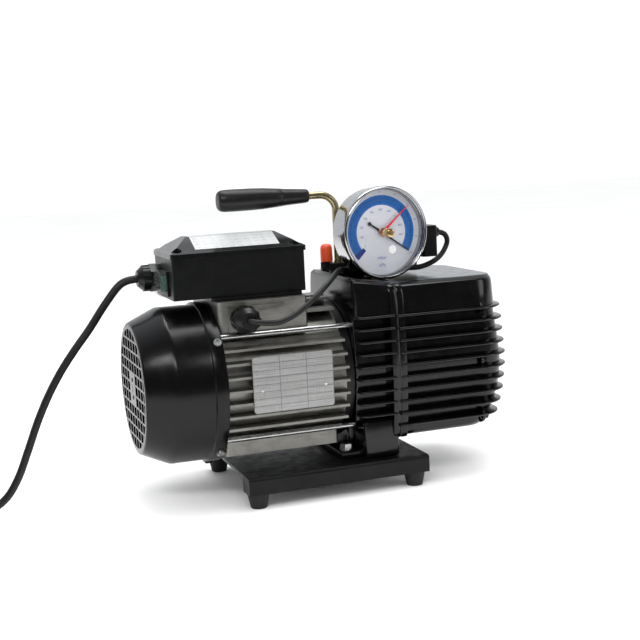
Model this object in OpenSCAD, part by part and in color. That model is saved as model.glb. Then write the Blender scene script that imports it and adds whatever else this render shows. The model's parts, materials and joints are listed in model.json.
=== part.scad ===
// Portable rotary vane vacuum pump: motor, two-stage pump in an oil reservoir,
// vacuum gauge, solenoid valve, terminal box, carrying handle and base.
// X runs along the motor shaft from the fan cover to the reservoir, the nameplate
// side is -Y, +Z is up and the rubber feet stand on z = 0.

/* [Base] */
// Length of the base channel
base_len = 166; // [150:1:168]
// Width of the base channel
base_w = 155; // [152:1:160]
// Height of the sheet's top above the floor
base_top = 28; // [26:0.5:29]
// Height of the rubber feet
foot_h = 13; // [12:0.5:14]

/* [Motor] */
// Height of the shaft's axis above the floor
axis_h = 101.5; // [101:0.5:103]
// Radius of the motor's barrel
barrel_r = 61; // [60.5:0.5:61.5]
// Radius that the cooling fins' tips reach
fin_tip_r = 70; // [68:0.5:71]
// Number of fins on each side, between the tie rods
side_fins = 7; // [5:2:7]
// Pitch of the side fins
fin_pitch = 11.3; // [10:0.1:11.3]
// Radius of the fan cover's barrel
cover_r = 69; // [68:0.5:70]
// Radius of the flat grille face
grille_r = 57.6; // [54:0.2:60]
// Diameter of the motor's shaft
shaft_d = 15; // [14:1:15]

/* [Terminal box] */
// Length of the terminal box
box_len = 118; // [110:1:120]
// Width of the terminal box
box_w = 70; // [68:1:72]
// Height of the terminal box under its lid
box_h = 35.2; // [32:0.2:36]
// Height of the lid's flat top above the box
lid_rise = 16.6; // [11:0.2:17]

/* [Pump] */
// Half width of the pump's casting
pump_hw = 66; // [64:1:68]
// Bulge of the casting's sides at mid height
pump_bulge = 3; // [1:0.5:4]
// Number of fins around the reservoir
reservoir_fins = 10; // [6:1:10]
// Radius of the bores in the pump stages
bore_r = 26; // [25:0.5:26]
// Offset of the rotor's axis from the bores' axis
bore_offset = 3.85; // [3.5:0.05:4]
// Thickness of a vane
vane_t = 4; // [3:0.5:4]

/* [Gauge and handle] */
// Outer radius of the gauge's bezel
bezel_r = 41.6; // [40:0.1:42]
// Angle by which the gauge is turned about its post
gauge_turn = 5; // [0:1:8]
// Height of the handle's grip above the floor
grip_h = 259; // [256:1:262]
// Length of the handle's grip
grip_len = 84; // [80:1:88]

/* [Hidden] */
$fn = 48;
x_mid = 168.8;              // middle of the pump's length, put on x = 0
zc = axis_h;

// base
base_x0 = 78.5;
base_x1 = base_x0 + base_len;
sheet = 2.5;
lip_bottom = foot_h;
tab_w = 20;
foot_y = base_w / 2 - 10.5;
foot_xs = [base_x0 + 10.5, base_x1 - 10.5];
foot_places = [for (x = foot_xs, y = [-foot_y, foot_y]) [x, y]];
pump_bolt_places = [for (x = [179, 216], y = [-44, 44]) [x, y]];

// motor
house_x0 = 68.5;
house_x1 = 176.3;
shield_x1 = 184.2;
stator_r = 53.2;
rotor_r = 30.6;
rod_y = 48.4;
rod_z = 44.6;
rod_r = 2.5;
wall_y = 46;                // flat sides of the housing's top block
block_top = 175.5;
bearing_w = 11;
bearing_xs = [60, 173];
bearing_ro = 17.5;
ball_ring_r = 12.5;
ball_r = 2.6;
balls = 8;
cover_screw_angles = [54, 141, 219, 306];
cover_rim_r = 69.3;         // rim of the fan-end shield, inside the cover's skirt

// terminal box
box_x0 = 34;
box_x1 = box_x0 + box_len;
box_z0 = 178.6;
box_z1 = box_z0 + box_h;
lid_screw_xs = [box_x0 + 6, box_x1 - 6];
switch_y = -6;
switch_z = 192;
rocker_x = box_x0 + 2.5;
gland_y = 20;
gland_z = 195;

// pump
pump_x0 = 184.6;
flange_x = 223;             // joint face of the pump body
gasket_t = 0.8;
res_x0 = flange_x + gasket_t;
res_z0 = 43.5;
res_z1 = 181.2;
res_fin_z1 = 152.7;
res_fin_pitch = 10.8;
// height and X of the reservoir's end, and of its fins' tips
end_profile = [
    [res_z0, 311], [52, 318], [62, 325], [79, 331], [100, 334], [121, 332], [148, 327.5], [177, 324.5]
];
fin_profile = [[55, 328.5], [80, 335], [104, 337.6], [153, 333.5]];
sight_x = 334.1;            // seat of the sight glass
drain_x = 322;              // face of the drain boss
screw_seat_x = 306;         // seats of the long screws that hold the reservoir
flange_screw_places = [for (y = [-60, 60], z = [54, 104, 154]) [y, z]];
deck_z = 188.6;             // machined pad on the pump body
flange_top = 181.6;
rotor_pump_r = bore_r - bore_offset - 0.35;
stage1 = [234, 258];
stage2 = [266, 280];
vane_h = 11;
slot_clear = 0.06;
bore_z = zc - bore_offset;

// gauge, valve and handle
gauge_x = 228.4;
gauge_y = -34;
gauge_z = 223.7;
coil_x0 = 250;
rod_x = 195.5;
port_x = 192.3;
port_y = 22;
exhaust_y = 43.6;

// cords
cord_d = 7;
cable_d = 5;
cord_route = [
    [16, 20, 195], [4, 20, 193.5], [-4, 20, 188.5], [-17, 20, 173], [-31, 20, 154],
    [-45, 20, 137], [-58, 20, 119.5], [-70, 20, 100], [-81, 20, 78], [-91, 20, 54],
    [-101, 20.5, 31], [-112, 21, 14.5], [-125, 21, 6], [-140, 21, 3.6], [-160, 21, 3.6],
    [-177, 21, 3.6]
];
tail_route = [
    [-193, 21, 11], [-205, 21, 11.5], [-218, 21, 14], [-231, 21, 17], [-243, 21, 18.5]
];
coil_centre = [-185, -27.5];
coil_in = 26.3;
coil_out = 52.2;
coil_h = 14.8;
cable_route = [
    [90, -64, 160.5], [90.5, -70.5, 160.5], [95, -73.8, 159.9], [104, -74.5, 158.6],
    [116, -73, 158.6], [130, -69, 163], [143, -65, 170], [156, -59.5, 178.5],
    [168, -52, 186.5], [178, -41, 191.5], [187, -28, 193.2], [195, -15, 191.4],
    [205, -7.5, 191.3], [220, -5, 191.2], [240, -5, 189.5], [258, -5, 187.5],
    [274, -4, 187], [287, -2.5, 190], [297, 0, 195], [303.5, 2, 201.5],
    [306.3, 2, 209], [303.5, 2, 215.5], [296, 2, 218]
];

// ---- helpers -----------------------------------------------------------------

// Puts the middle of the pump's length on the frame's YZ plane.
module place() { translate([-x_mid, 0, 0]) children(); }

// Cylinder along +X from x0 to x1 about the shaft's axis.
module xcyl(x0, x1, r, r2 = undef, fn = 64) {
    translate([x0, 0, zc]) rotate([0, 90, 0])
        cylinder(h = x1 - x0, r1 = r, r2 = is_undef(r2) ? r : r2, $fn = fn);
}

// Cylinder along +X through any point.
module xrod(x0, x1, y, z, r, fn = 32) {
    translate([x0, y, z]) rotate([0, 90, 0]) cylinder(h = x1 - x0, r = r, $fn = fn);
}

// Cylinder along -Y from y0 towards the front.
module yrod(x, y0, z, r, h, fn = 32) {
    translate([x, y0, z]) rotate([90, 0, 0]) cylinder(h = h, r = r, $fn = fn);
}

// Hexagonal prism along +Z, across flats af.
module hex(af, h) { cylinder(h = h, r = af / 2 / cos(30), $fn = 6); }

// Box given by its corners.
module block(a, b) { translate(a) cube(b - a); }

// Slab x0..x1 by y0..y1 by z0..z1 with round vertical corners.
module slab(x0, x1, y0, y1, z0, z1, r, fn = 24) {
    translate([0, 0, z0]) linear_extrude(z1 - z0) {
        translate([x0 + r, y0]) square([x1 - x0 - 2 * r, y1 - y0]);
        translate([x0, y0 + r]) square([x1 - x0, y1 - y0 - 2 * r]);
        for (x = [x0 + r, x1 - r], y = [y0 + r, y1 - r]) translate([x, y]) circle(r, $fn = fn);
    }
}

// Vector work for the swept tubes.
function unit(v) = v / norm(v);
// Catmull-Rom point between p1 and p2.
function spline(p0, p1, p2, p3, t) =
    0.5 * (2 * p1 + (p2 - p0) * t + (2 * p0 - 5 * p1 + 4 * p2 - p3) * t * t
        + (3 * p1 - p0 - 3 * p2 + p3) * t * t * t);
function smooth(route, steps) = let (n = len(route)) concat(
    [for (i = [0 : n - 2], s = [0 : steps - 1])
        spline(route[max(i - 1, 0)], route[i], route[i + 1], route[min(i + 2, n - 1)], s / steps)],
    [route[n - 1]]);
function tangent(p, i) = unit(p[min(i + 1, len(p) - 1)] - p[max(i - 1, 0)]);

// A round tube along a route, one closed polyhedron.
module tube(route, d, sides, steps) {
    path = smooth(route, steps);
    n = len(path);
    up = [0.05, 0.1, 1];
    rings = [for (i = [0 : n - 1])
        let (t = tangent(path, i), side = unit(cross(t, up)), over = cross(side, t))
        for (k = [0 : sides - 1])
            path[i] + d / 2 * (cos(360 * k / sides) * side + sin(360 * k / sides) * over)];
    walls = [for (i = [0 : n - 2], k = [0 : sides - 1])
        let (a = i * sides + k, b = i * sides + (k + 1) % sides)
        each [[a, b, b + sides], [a, b + sides, a + sides]]];
    ends = [[for (k = [sides - 1 : -1 : 0]) k], [for (k = [0 : sides - 1]) (n - 1) * sides + k]];
    polyhedron(rings, concat(walls, ends));
}

// ---- base --------------------------------------------------------------------

module base_section() {
    hw = base_w / 2;
    r = 3;
    difference() {
        union() {
            translate([-hw, lip_bottom]) square([base_w, base_top - lip_bottom - r]);
            translate([-hw + r, lip_bottom]) square([base_w - 2 * r, base_top - lip_bottom]);
            for (s = [-1, 1]) translate([s * (hw - r), base_top - r]) circle(r, $fn = 32);
        }
        translate([-hw + sheet, lip_bottom + sheet])
            square([base_w - 2 * sheet, base_top - lip_bottom - 2 * sheet]);
        translate([-hw + tab_w, lip_bottom - 1]) square([base_w - 2 * tab_w, 5]);
    }
}

module base_plate() {
    hw = base_w / 2;
    color("#17181a") difference() {
        union() {
            translate([base_x0, 0, 0]) rotate([90, 0, 90]) linear_extrude(base_len) base_section();
            for (x = [base_x0, base_x1 - sheet], s = [-1, 1])
                translate([x, s > 0 ? hw - tab_w : -hw + sheet / 2, lip_bottom + 1])
                    cube([sheet, tab_w - sheet / 2, base_top - lip_bottom - 2]);
        }
        for (p = foot_places) translate([p[0], p[1], lip_bottom - 1]) cylinder(h = 5, r = 2.75);
        for (p = pump_bolt_places) translate([p[0], p[1], base_top - 4]) cylinder(h = 6, r = 3.3);
    }
}

module rubber_feet() {
    color("#1d1d1e") for (p = foot_places) translate([p[0], p[1], 0])
        rotate_extrude($fn = 48) difference() {
            polygon([[0, 0], [6.6, 0], [7.2, 0.8], [9.7, foot_h], [0, foot_h]]);
            translate([-1, -1]) square([5.4, 5.6]);
            translate([-1, -1]) square([3.7, foot_h + 2]);
            translate([-10, -1]) square([10, foot_h + 2]);
        }
}

module base_screws() {
    color("#b9bcc0") {
        for (p = foot_places) translate([p[0], p[1], 0]) {
            translate([0, 0, 3.6]) cylinder(h = 1, r = 4.3, $fn = 32);
            translate([0, 0, 1.4]) cylinder(h = 2.3, r = 3.8, $fn = 32);
            translate([0, 0, 4.5]) cylinder(h = 16.3, r = 2.5, $fn = 32);
            translate([0, 0, lip_bottom + sheet]) hex(8, 4);
        }
        for (p = pump_bolt_places) translate([p[0], p[1], 0]) {
            translate([0, 0, 20]) cylinder(h = 19, r = 3, $fn = 32);
            translate([0, 0, 34]) cylinder(h = 1.4, r = 6, $fn = 32);
            translate([0, 0, 35.4]) hex(10, 4.2);
            translate([0, 0, 21]) hex(10, 4.5);
        }
    }
}

// ---- motor -------------------------------------------------------------------

module side_fin(z, s) {
    tip = sqrt(fin_tip_r * fin_tip_r - (z - zc) * (z - zc));
    root = sqrt(barrel_r * barrel_r - (z - zc) * (z - zc)) - 2;
    translate([house_x0, 0, z]) rotate([90, 0, 90]) linear_extrude(house_x1 - house_x0)
        polygon([[s * root, -2], [s * tip, -1.1], [s * tip, 1.1], [s * root, 2]]);
}

module motor_housing() {
    mid_fin = (side_fins - 1) / 2;
    color("#a9a59c") difference() {
        union() {
            xcyl(house_x0, house_x1, barrel_r, fn = 96);
            for (k = [-mid_fin : mid_fin], s = [-1, 1]) side_fin(zc + k * fin_pitch, s);
            for (h = [59, 66.5], s = [-1, 1]) {
                tip = sqrt(fin_tip_r * fin_tip_r - h * h);
                block([148, s < 0 ? -tip : 0, zc + h - 1.3], [house_x1, s < 0 ? 0 : tip, zc + h + 1.3]);
            }
            slab(house_x0, 149, -wall_y, wall_y, zc + 45.6, block_top, 4);
            block([148, -10, zc + 50], [house_x1, 10, zc + fin_tip_r - 1]);
            slab(house_x0, 172, -wall_y + 1, wall_y - 1, 41.5, zc - 47.6, 3);
            for (s = [-1, 1]) translate([0, s * (wall_y - 0.5), 0]) pad_panel();
        }
        xcyl(house_x0 - 1, house_x1 + 1, stator_r, fn = 96);
        // wiring chamber under the terminal box
        block([76, -38, zc + 56], [140, 38, block_top + 1]);
        block([92, -12, zc + 48], [124, 12, zc + 60]);
        translate([90, -wall_y + 12, 160.5]) rotate([90, 0, 0]) cylinder(h = 20, r = 8.1);
        for (x = [72.5, 143.5], y = [-30, 30])
            translate([x, y, block_top - 12]) cylinder(h = 14, r = 1.7, $fn = 24);
    }
}

// Raised panel that carries the gland and the blank knock-out.
module pad_panel() {
    translate([77, -1.5, 149]) cube([51, 3, 22]);
}

module fan_shield() {
    color("#26272a") difference() {
        union() {
            xcyl(58, house_x0, cover_rim_r, fn = 96);
            difference() {
                xcyl(house_x0, 74, stator_r - 0.1);
                xcyl(71.2, 75, 48);
            }
            xcyl(57, 74, 23);
        }
        xcyl(60, 75, bearing_ro + 0.01);
        xcyl(56, 61, 12);
        for (y = [-rod_y, rod_y], z = [zc - rod_z, zc + rod_z]) xrod(59, 70, y, z, rod_r + 0.02);
        for (a = cover_screw_angles) translate([63.5, 0, zc]) rotate([a, 0, 0])
            translate([0, 0, 58]) cylinder(h = 13, r = 1.52, $fn = 24);
    }
}

module drive_shield() {
    color("#1b1c1e") difference() {
        union() {
            xcyl(house_x1, shield_x1, barrel_r, fn = 96);
            xcyl(170, house_x1, stator_r - 0.1, fn = 96);
        }
        xcyl(173, 184.3, bearing_ro + 0.01);
        xcyl(169, 174, 12);
        difference() {
            xcyl(169, 172.4, 48);
            xcyl(168, 173, 22);
        }
    }
}

module fan_cover() {
    t = 2.4;
    color("#121316") difference() {
        union() {
            xcyl(0, 25, grille_r, cover_r, fn = 96);
            xcyl(25, 57, cover_r, fn = 96);
            xcyl(57, 68.2, cover_r + 1.9, fn = 96);
            translate([58, -9, zc - cover_r - 4.4]) cube([8, 18, 5]);
        }
        xcyl(t, 25, grille_r - t, cover_r - t, fn = 96);
        xcyl(24.9, 57.1, cover_r - t, fn = 96);
        xcyl(57, 69, cover_rim_r + 0.1, fn = 96);
        grille_holes();
        for (a = cover_screw_angles) translate([63.5, 0, zc]) rotate([a, 0, 0])
            translate([0, 0, 60]) cylinder(h = 14, r = 1.8, $fn = 24);
    }
}

module grille_holes() {
    pitch = [11.6, 9.6];
    hole = [9.7, 7.7];
    reach = 53;
    for (i = [-5 : 4], j = [-5 : 5]) {
        y = (i + 0.5) * pitch[0];
        z = j * pitch[1];
        if (norm([abs(y) + hole[0] / 2, abs(z) + hole[1] / 2]) < reach && (abs(y) > pitch[0] || abs(z) > 14.4))
            translate([-1, y - hole[0] / 2, zc + z - hole[1] / 2]) cube([5, hole[0], hole[1]]);
    }
    translate([-1, -1.6, zc - 4.2]) cube([2, 3.2, 8.4]);
    for (z = [-7.8, 7.8]) translate([-1, 0, zc + z]) rotate([0, 90, 0]) cylinder(h = 2, r = 1.1);
}

module fan_cover_screws() {
    color("#c9cbce") for (a = cover_screw_angles) translate([63.5, 0, zc]) rotate([a, 0, 0]) {
        translate([0, 0, 61]) cylinder(h = 11, r = 1.5, $fn = 24);
        difference() {
            translate([0, 0, cover_r + 2]) cylinder(h = 2, r = 3.4, $fn = 32);
            translate([-0.5, -2, cover_r + 3.2]) cube([1, 4, 2]);
            translate([-2, -0.5, cover_r + 3.2]) cube([4, 1, 2]);
        }
    }
}

module tie_rods() {
    color("#d0d1d3") for (y = [-rod_y, rod_y], z = [zc - rod_z, zc + rod_z])
        xrod(60, 194, y, z, rod_r);
}

module stator_core() {
    color("#6f7276") difference() {
        xcyl(90, 150, stator_r - 0.02, fn = 96);
        xcyl(89, 151, rotor_r + 0.5, fn = 96);
        for (a = [0 : 15 : 359]) translate([89, 0, zc]) rotate([a, 0, 0])
            translate([0, -1.6, 30]) cube([62, 3.2, 13]);
    }
}

module stator_windings() {
    color("#b06a34") {
        for (x = [[78.5, 90], [150, 161.5]]) difference() {
            xcyl(x[0], x[1], 46, fn = 64);
            xcyl(x[0] - 1, x[1] + 1, 33.5, fn = 64);
        }
        for (a = [0 : 15 : 359]) translate([90, 0, zc]) rotate([a, 0, 0])
            translate([0, -1.3, 34]) cube([60, 2.6, 8.6]);
    }
}

module nameplate() {
    color("#c8cacc") difference() {
        translate([88.7, -fin_tip_r - 0.9, 81.5]) cube([72.3, 0.8, 48.8]);
        for (x = [97, 153.5]) yrod(x, -fin_tip_r + 1, zc, 1.6, 4);
    }
}

module nameplate_rivets() {
    color("#dfe0e1") for (x = [97, 153.5]) {
        yrod(x, -fin_tip_r - 0.9, zc, 2.7, 0.9);
        yrod(x, -fin_tip_r - 0.1, zc, 1.55, 1);
    }
}

module cooling_fan() {
    color("#3a3b3e") difference() {
        union() {
            xcyl(18, 44, 14);
            xcyl(40, 42.5, 42);
            for (a = [0 : 60 : 359]) translate([17, 0, zc]) rotate([a, 0, 0])
                translate([0, -1.2, 12]) cube([25, 2.4, 42]);
        }
        xcyl(17, 45, shaft_d / 2 - 1.2 + 0.02);
    }
}

module motor_shaft() {
    color("#c3c6c9") union() {
        xcyl(19, 46, shaft_d / 2 - 1.2);
        xcyl(46, 88, shaft_d / 2);
        xcyl(88, 152, shaft_d / 2 + 1.5);
        xcyl(152, 186, shaft_d / 2);
        xcyl(186, 200, shaft_d / 2 - 1.5);
        // coupling hub with a driving tongue
        difference() {
            xcyl(192, 206, 15);
            block([201, -3.2, zc - 20], [207, 3.2, zc + 20]);
        }
    }
}

module rotor_core() {
    color("#83868a") difference() {
        union() {
            xcyl(91, 149, rotor_r, fn = 96);
            for (x = [[84, 91], [149, 156]]) difference() {
                xcyl(x[0], x[1], rotor_r - 1.5, fn = 64);
                xcyl(x[0] - 1, x[1] + 1, 21);
            }
        }
        xcyl(90, 150, shaft_d / 2 + 1.52);
    }
}

module bearing_outer_rings() {
    color("#d3d5d8") for (x = bearing_xs) difference() {
        xcyl(x, x + bearing_w, bearing_ro);
        xcyl(x - 1, x + bearing_w + 1, ball_ring_r + 1.6);
        groove(x);
    }
}

// Ring-shaped ball track at the middle of a bearing.
module groove(x) {
    translate([x + bearing_w / 2, 0, zc]) rotate([0, 90, 0])
        rotate_extrude($fn = 64) translate([ball_ring_r, 0]) circle(ball_r + 0.06, $fn = 32);
}

module bearing_inner_rings() {
    color("#c7cacd") for (x = bearing_xs) difference() {
        xcyl(x, x + bearing_w, ball_ring_r - 1.6);
        xcyl(x - 1, x + bearing_w + 1, shaft_d / 2 + 0.01);
        groove(x);
    }
}

module bearing_balls() {
    for (x = bearing_xs) {
        color("#e3e4e6") for (k = [0 : balls - 1]) translate([x + bearing_w / 2, 0, zc])
            rotate([360 * k / balls, 0, 0]) translate([0, 0, ball_ring_r]) sphere(ball_r, $fn = 32);
        color("#b28a4a") difference() {
            xcyl(x + bearing_w / 2 - 1.6, x + bearing_w / 2 + 1.6, ball_ring_r + 0.7);
            xcyl(x, x + bearing_w, ball_ring_r - 0.7);
            for (k = [0 : balls - 1]) translate([x + bearing_w / 2, 0, zc])
                rotate([360 * k / balls, 0, 0]) translate([0, 0, ball_ring_r - 3])
                    cylinder(h = 6, r = ball_r - 0.05, $fn = 32);
        }
    }
}

// ---- terminal box --------------------------------------------------------------

module box_adaptor() {
    color("#101113") difference() {
        slab(66, 148, -39, 39, block_top, box_z0, 5);
        slab(78, 138, -28, 28, block_top - 1, box_z0 + 1, 4);
        for (x = [72.5, 143.5], y = [-30, 30])
            translate([x, y, block_top - 1]) cylinder(h = 6, r = 2, $fn = 24);
    }
}

module terminal_box() {
    hw = box_w / 2;
    wall = 2.5;
    color("#0f1012") difference() {
        union() {
            difference() {
                slab(box_x0, box_x1, -hw, hw, box_z0, box_z1, 2);
                slab(box_x0 + wall, box_x1 - wall, -hw + wall, hw - wall, box_z0 + wall, box_z1 + 1, 1.5);
            }
            // screw posts in the upper corners
            for (x = lid_screw_xs, s = [-1, 1])
                translate([x, s * (hw - 6), box_z1 - 10.4]) cylinder(h = 10.4, r = 3.8, $fn = 32);
        }
        for (x = lid_screw_xs, s = [-1, 1])
            translate([x, s * (hw - 6), box_z1 - 14]) cylinder(h = 16, r = 1.52, $fn = 24);
        slab(80, 136, -26, 26, box_z0 - 1, box_z0 + 4, 3);
        block([box_x0 - 1, switch_y - 10.9, switch_z - 8], [box_x0 + 5, switch_y + 10.9, switch_z + 8]);
        xrod(box_x0 - 1, box_x0 + 4, gland_y, gland_z, 8.1);
        for (x = [72.5, 143.5], y = [-30, 30])
            translate([x, y, box_z0 - 1]) cylinder(h = 6, r = 2, $fn = 24);
        // shallow moulded dimples on the front
        for (x = [75, 114]) yrod(x, -hw + 0.6, 196, 2.4, 2);
    }
}

// Cambered lid: a front profile and a side profile crossed over the outline.
module lid_shape(drop) {
    hw = box_w / 2 + 0.8;
    x0 = box_x0 - 0.8;
    x1 = box_x1 + 1.8;
    z = box_z1 - drop;
    intersection() {
        slab(x0, x1, -hw, hw, box_z1, box_z1 + lid_rise + 1, 3);
        translate([x0 - 5, 0, 0]) rotate([90, 0, 90]) linear_extrude(x1 - x0 + 10)
            polygon([[-hw, z - 5], [-hw, z + 4.2], [-hw + 3, z + 5.4], [-8, z + lid_rise],
                [8, z + lid_rise], [hw - 3, z + 5.4], [hw, z + 4.2], [hw, z - 5]]);
        translate([0, hw + 5, 0]) rotate([90, 0, 0]) linear_extrude(2 * hw + 10)
            polygon([[x0, z - 5], [x0, z + 4.2], [x0 + 2.5, z + 5.4], [x0 + 20, z + lid_rise],
                [x1 - 20, z + lid_rise], [x1 - 2.5, z + 5.4], [x1, z + 4.2], [x1, z - 5]]);
    }
}

module terminal_box_lid() {
    hw = box_w / 2;
    color("#141517") difference() {
        lid_shape(0);
        difference() {
            intersection() {
                lid_shape(2.4);
                block([box_x0 + 3, -hw + 3, box_z1 - 1], [box_x1 - 3, hw - 3, box_z1 + 20]);
            }
            for (x = lid_screw_xs, s = [-1, 1])
                translate([x, s * (hw - 6), box_z1 - 2]) cylinder(h = 20, r = 6.2, $fn = 32);
        }
        for (x = lid_screw_xs, s = [-1, 1]) translate([x, s * (hw - 6), 0]) {
            translate([0, 0, box_z1 + 2.2]) cylinder(h = 20, r = 4.4, $fn = 32);
            translate([0, 0, box_z1 - 1]) cylinder(h = 6, r = 1.8, $fn = 24);
        }
    }
}

module lid_screws() {
    color("#c9cbce") for (x = lid_screw_xs, s = [-1, 1])
        translate([x, s * (box_w / 2 - 6), 0]) difference() {
            union() {
                translate([0, 0, box_z1 - 10]) cylinder(h = 13, r = 1.5, $fn = 24);
                translate([0, 0, box_z1 + 2.2]) cylinder(h = 2.2, r = 3.4, $fn = 32);
            }
            translate([-2.4, -0.5, box_z1 + 3.6]) cube([4.8, 1, 2]);
            translate([-0.5, -2.4, box_z1 + 3.6]) cube([1, 4.8, 2]);
        }
}

// Block centred on the switch, x0..x1, with half width hy and half height hz.
module switch_block(x0, x1, hy, hz) {
    block([x0, switch_y - hy, switch_z - hz], [x1, switch_y + hy, switch_z + hz]);
}

module switch_body() {
    color("#191a1c") {
        difference() {
            union() {
                switch_block(box_x0 - 1.8, box_x0, 14, 10.7);
                switch_block(box_x0 - 0.1, box_x0 + 16, 10.8, 7.9);
            }
            switch_block(box_x0 - 3, box_x0 + 11, 9.9, 7);
        }
        // the rocker's pivot
        translate([rocker_x, switch_y, switch_z - 7.2]) cylinder(h = 14.4, r = 1, $fn = 32);
    }
    color("#c9b26a") for (z = [-4, 4]) translate([0, 0, z]) switch_block(box_x0 + 15.9, box_x0 + 24, 3, 0.4);
}

module switch_rocker() {
    color("#0d6b45") translate([rocker_x, switch_y, switch_z - 6.6]) rotate([0, 0, -9]) difference() {
        linear_extrude(13.2)
            polygon([[-6.2, -8.4], [-4.6, 0], [-6.2, 8.4], [2.2, 7.6], [4.4, 0], [2.2, -7.6]]);
        translate([0, 0, -1]) cylinder(h = 16, r = 1.06, $fn = 32);
    }
}

module switch_boot() {
    t = 0.8;
    x0 = box_x0 - 8;
    x1 = box_x0 - 1.8;
    color("#bfc6c6") difference() {
        switch_block(x0, x1, 14, 10.7);
        switch_block(x0 + t, x1 + 1, 14 - t, 10.7 - t);
    }
}

module gland(r, length, bore) {
    grip_len = length - 13.5;
    difference() {
        union() {
            translate([0, 0, -9]) cylinder(h = 9.2, r = r * 0.7, $fn = 32);
            cylinder(h = 3, r = r * 1.02, $fn = 32);
            translate([0, 0, 2.9]) hex(r * 1.9, 6.2);
            translate([0, 0, 9]) cylinder(h = grip_len, r = r * 0.97, $fn = 32);
            for (k = [0 : 11]) rotate([0, 0, 30 * k])
                translate([r * 0.9, -0.9, 9]) cube([r * 0.12, 1.8, grip_len]);
            translate([0, 0, length - 4.6]) cylinder(h = 4.6, r1 = r * 0.97, r2 = r * 0.62, $fn = 32);
        }
        translate([0, 0, -12]) cylinder(h = length + 20, r = bore, $fn = 32);
    }
}

module cord_gland() {
    color("#141416") translate([box_x0, gland_y, gland_z]) rotate([0, -90, 0]) gland(11.3, 20, cord_d / 2);
}

module power_cord() {
    color("#101010") {
        tube(cord_route, cord_d, 10, 2);
        tube(tail_route, cord_d, 10, 2);
    }
}

module power_cord_coil() {
    color("#101010") translate([coil_centre[0], coil_centre[1], 0]) rotate_extrude($fn = 64)
        translate([coil_in, 0]) square([coil_out - coil_in, coil_h]);
}

// Earthed plug lying on its side, its pins along -X.
module power_plug() {
    color("#111112") translate([-243, 21, 18.6]) rotate([0, -90, 0]) {
        difference() {
            union() {
                cylinder(h = 20, r1 = 5.2, r2 = 9, $fn = 32);
                translate([0, 0, 20]) cylinder(h = 10, r1 = 9, r2 = 18, $fn = 48);
                translate([0, 0, 29.9]) cylinder(h = 18, r = 18.5, $fn = 48);
            }
            translate([0, 0, -1]) cylinder(h = 12, r = cord_d / 2, $fn = 32);
        }
        for (s = [-1, 1]) translate([s * 9.5, 0, 47]) cylinder(h = 19.5, r = 2.4, $fn = 24);
    }
}

module valve_gland() {
    color("#141416") translate([90, -wall_y - 1.02, 160.5]) rotate([90, 0, 0]) gland(11.3, 20, cable_d / 2);
}

module valve_cable() {
    color("#1a1a1b") tube(cable_route, cable_d, 8, 2);
}

// ---- pump ----------------------------------------------------------------------

// Casting's side outline in YZ, from z0 to z1, with bulged sides and cut corners.
module side_outline(z0, z1, grow) {
    hw = pump_hw + grow;
    half = [[hw - 8, z0], [hw - 1, z0 + 4], [hw + pump_bulge, zc], [hw, z1 - 14],
        [hw - 3, z1 - 3], [hw - 9, z1]];
    polygon(concat(half, [for (k = [5 : -1 : 0]) [-half[k][0], half[k][1]]]));
}

module side_prism(x0, x1, z0, z1, grow) {
    translate([x0, 0, 0]) rotate([90, 0, 90]) linear_extrude(x1 - x0) side_outline(z0, z1, grow);
}

module pump_body() {
    color("#111214") difference() {
        union() {
            intersection() {
                side_prism(pump_x0, flange_x, 56, 188, 0);
                translate([0, 90, 0]) rotate([90, 0, 0]) linear_extrude(180)
                    polygon([[pump_x0, 50], [flange_x, 50], [flange_x, flange_top],
                        [pump_x0 + 2, 188], [pump_x0, 186]]);
            }
            // bolted joint flange
            side_prism(216.5, flange_x, 42, flange_top, 2.2);
            intersection() {
                side_prism(pump_x0 + 0.5, flange_x - 3, 50, 187, 4.2);
                for (k = [0 : 9])
                    block([pump_x0, -80, 152.6 - k * 10.9], [flange_x - 3, 80, 154.8 - k * 10.9]);
            }
            block([pump_x0, -9, 170], [218, 36, deck_z]);
            // foot on the base
            block([190, -pump_hw + 1, base_top], [222, pump_hw - 1, 60]);
            block([171, -54, base_top], [222, 54, 34]);
            for (s = [-1, 1]) block([186, s > 0 ? 28 : -34, 30], [200, s > 0 ? 34 : -28, 60]);
        }
        // coupling chamber and the way through to the pump stages
        xcyl(pump_x0 - 1, 211, 32);
        xcyl(210, flange_x + 1, 9);
        for (y = [-rod_y, rod_y], z = [zc - rod_z, zc + rod_z]) xrod(pump_x0 - 1, 195, y, z, rod_r + 0.02);
        for (p = pump_bolt_places) translate([p[0], p[1], base_top - 1]) cylinder(h = 7.1, r = 3.3, $fn = 32);
        for (y = [-44, 44]) block([209, y - 7, 34], [flange_x + 1, y + 7, 42]);
        // intake drillings
        translate([port_x, port_y, 160]) cylinder(h = 30, r = 4.5, $fn = 32);
        xrod(port_x, flange_x + 1, port_y, 164, 3.5);
        translate([rod_x, 0, 168]) cylinder(h = 22, r = 4.02, $fn = 32);
        for (p = flange_screw_places) xrod(213, flange_x + 1, p[0], p[1], 2.6);
    }
}

module flange_gasket() {
    color("#3b2f26") difference() {
        side_prism(flange_x, res_x0, 42.4, flange_top - 0.4, 1.6);
        block([flange_x - 1, -52, 52], [res_x0 + 1, 52, 170]);
        for (p = flange_screw_places) xrod(flange_x - 1, res_x0 + 1, p[0], p[1], 2.8);
    }
}

// The reservoir's end and its fins' tips at height z: bulged, drawn in at the bottom.
function end_x(z) = lookup(z, end_profile);
function fin_x(z) = lookup(z, fin_profile);

module reservoir_fin(z) {
    hw = pump_hw + (z > 66 && z < 150 ? 6 : 4);
    slab(res_x0, fin_x(z), -hw, hw, z - 1.05, z + 1.05, 30);
}

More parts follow.
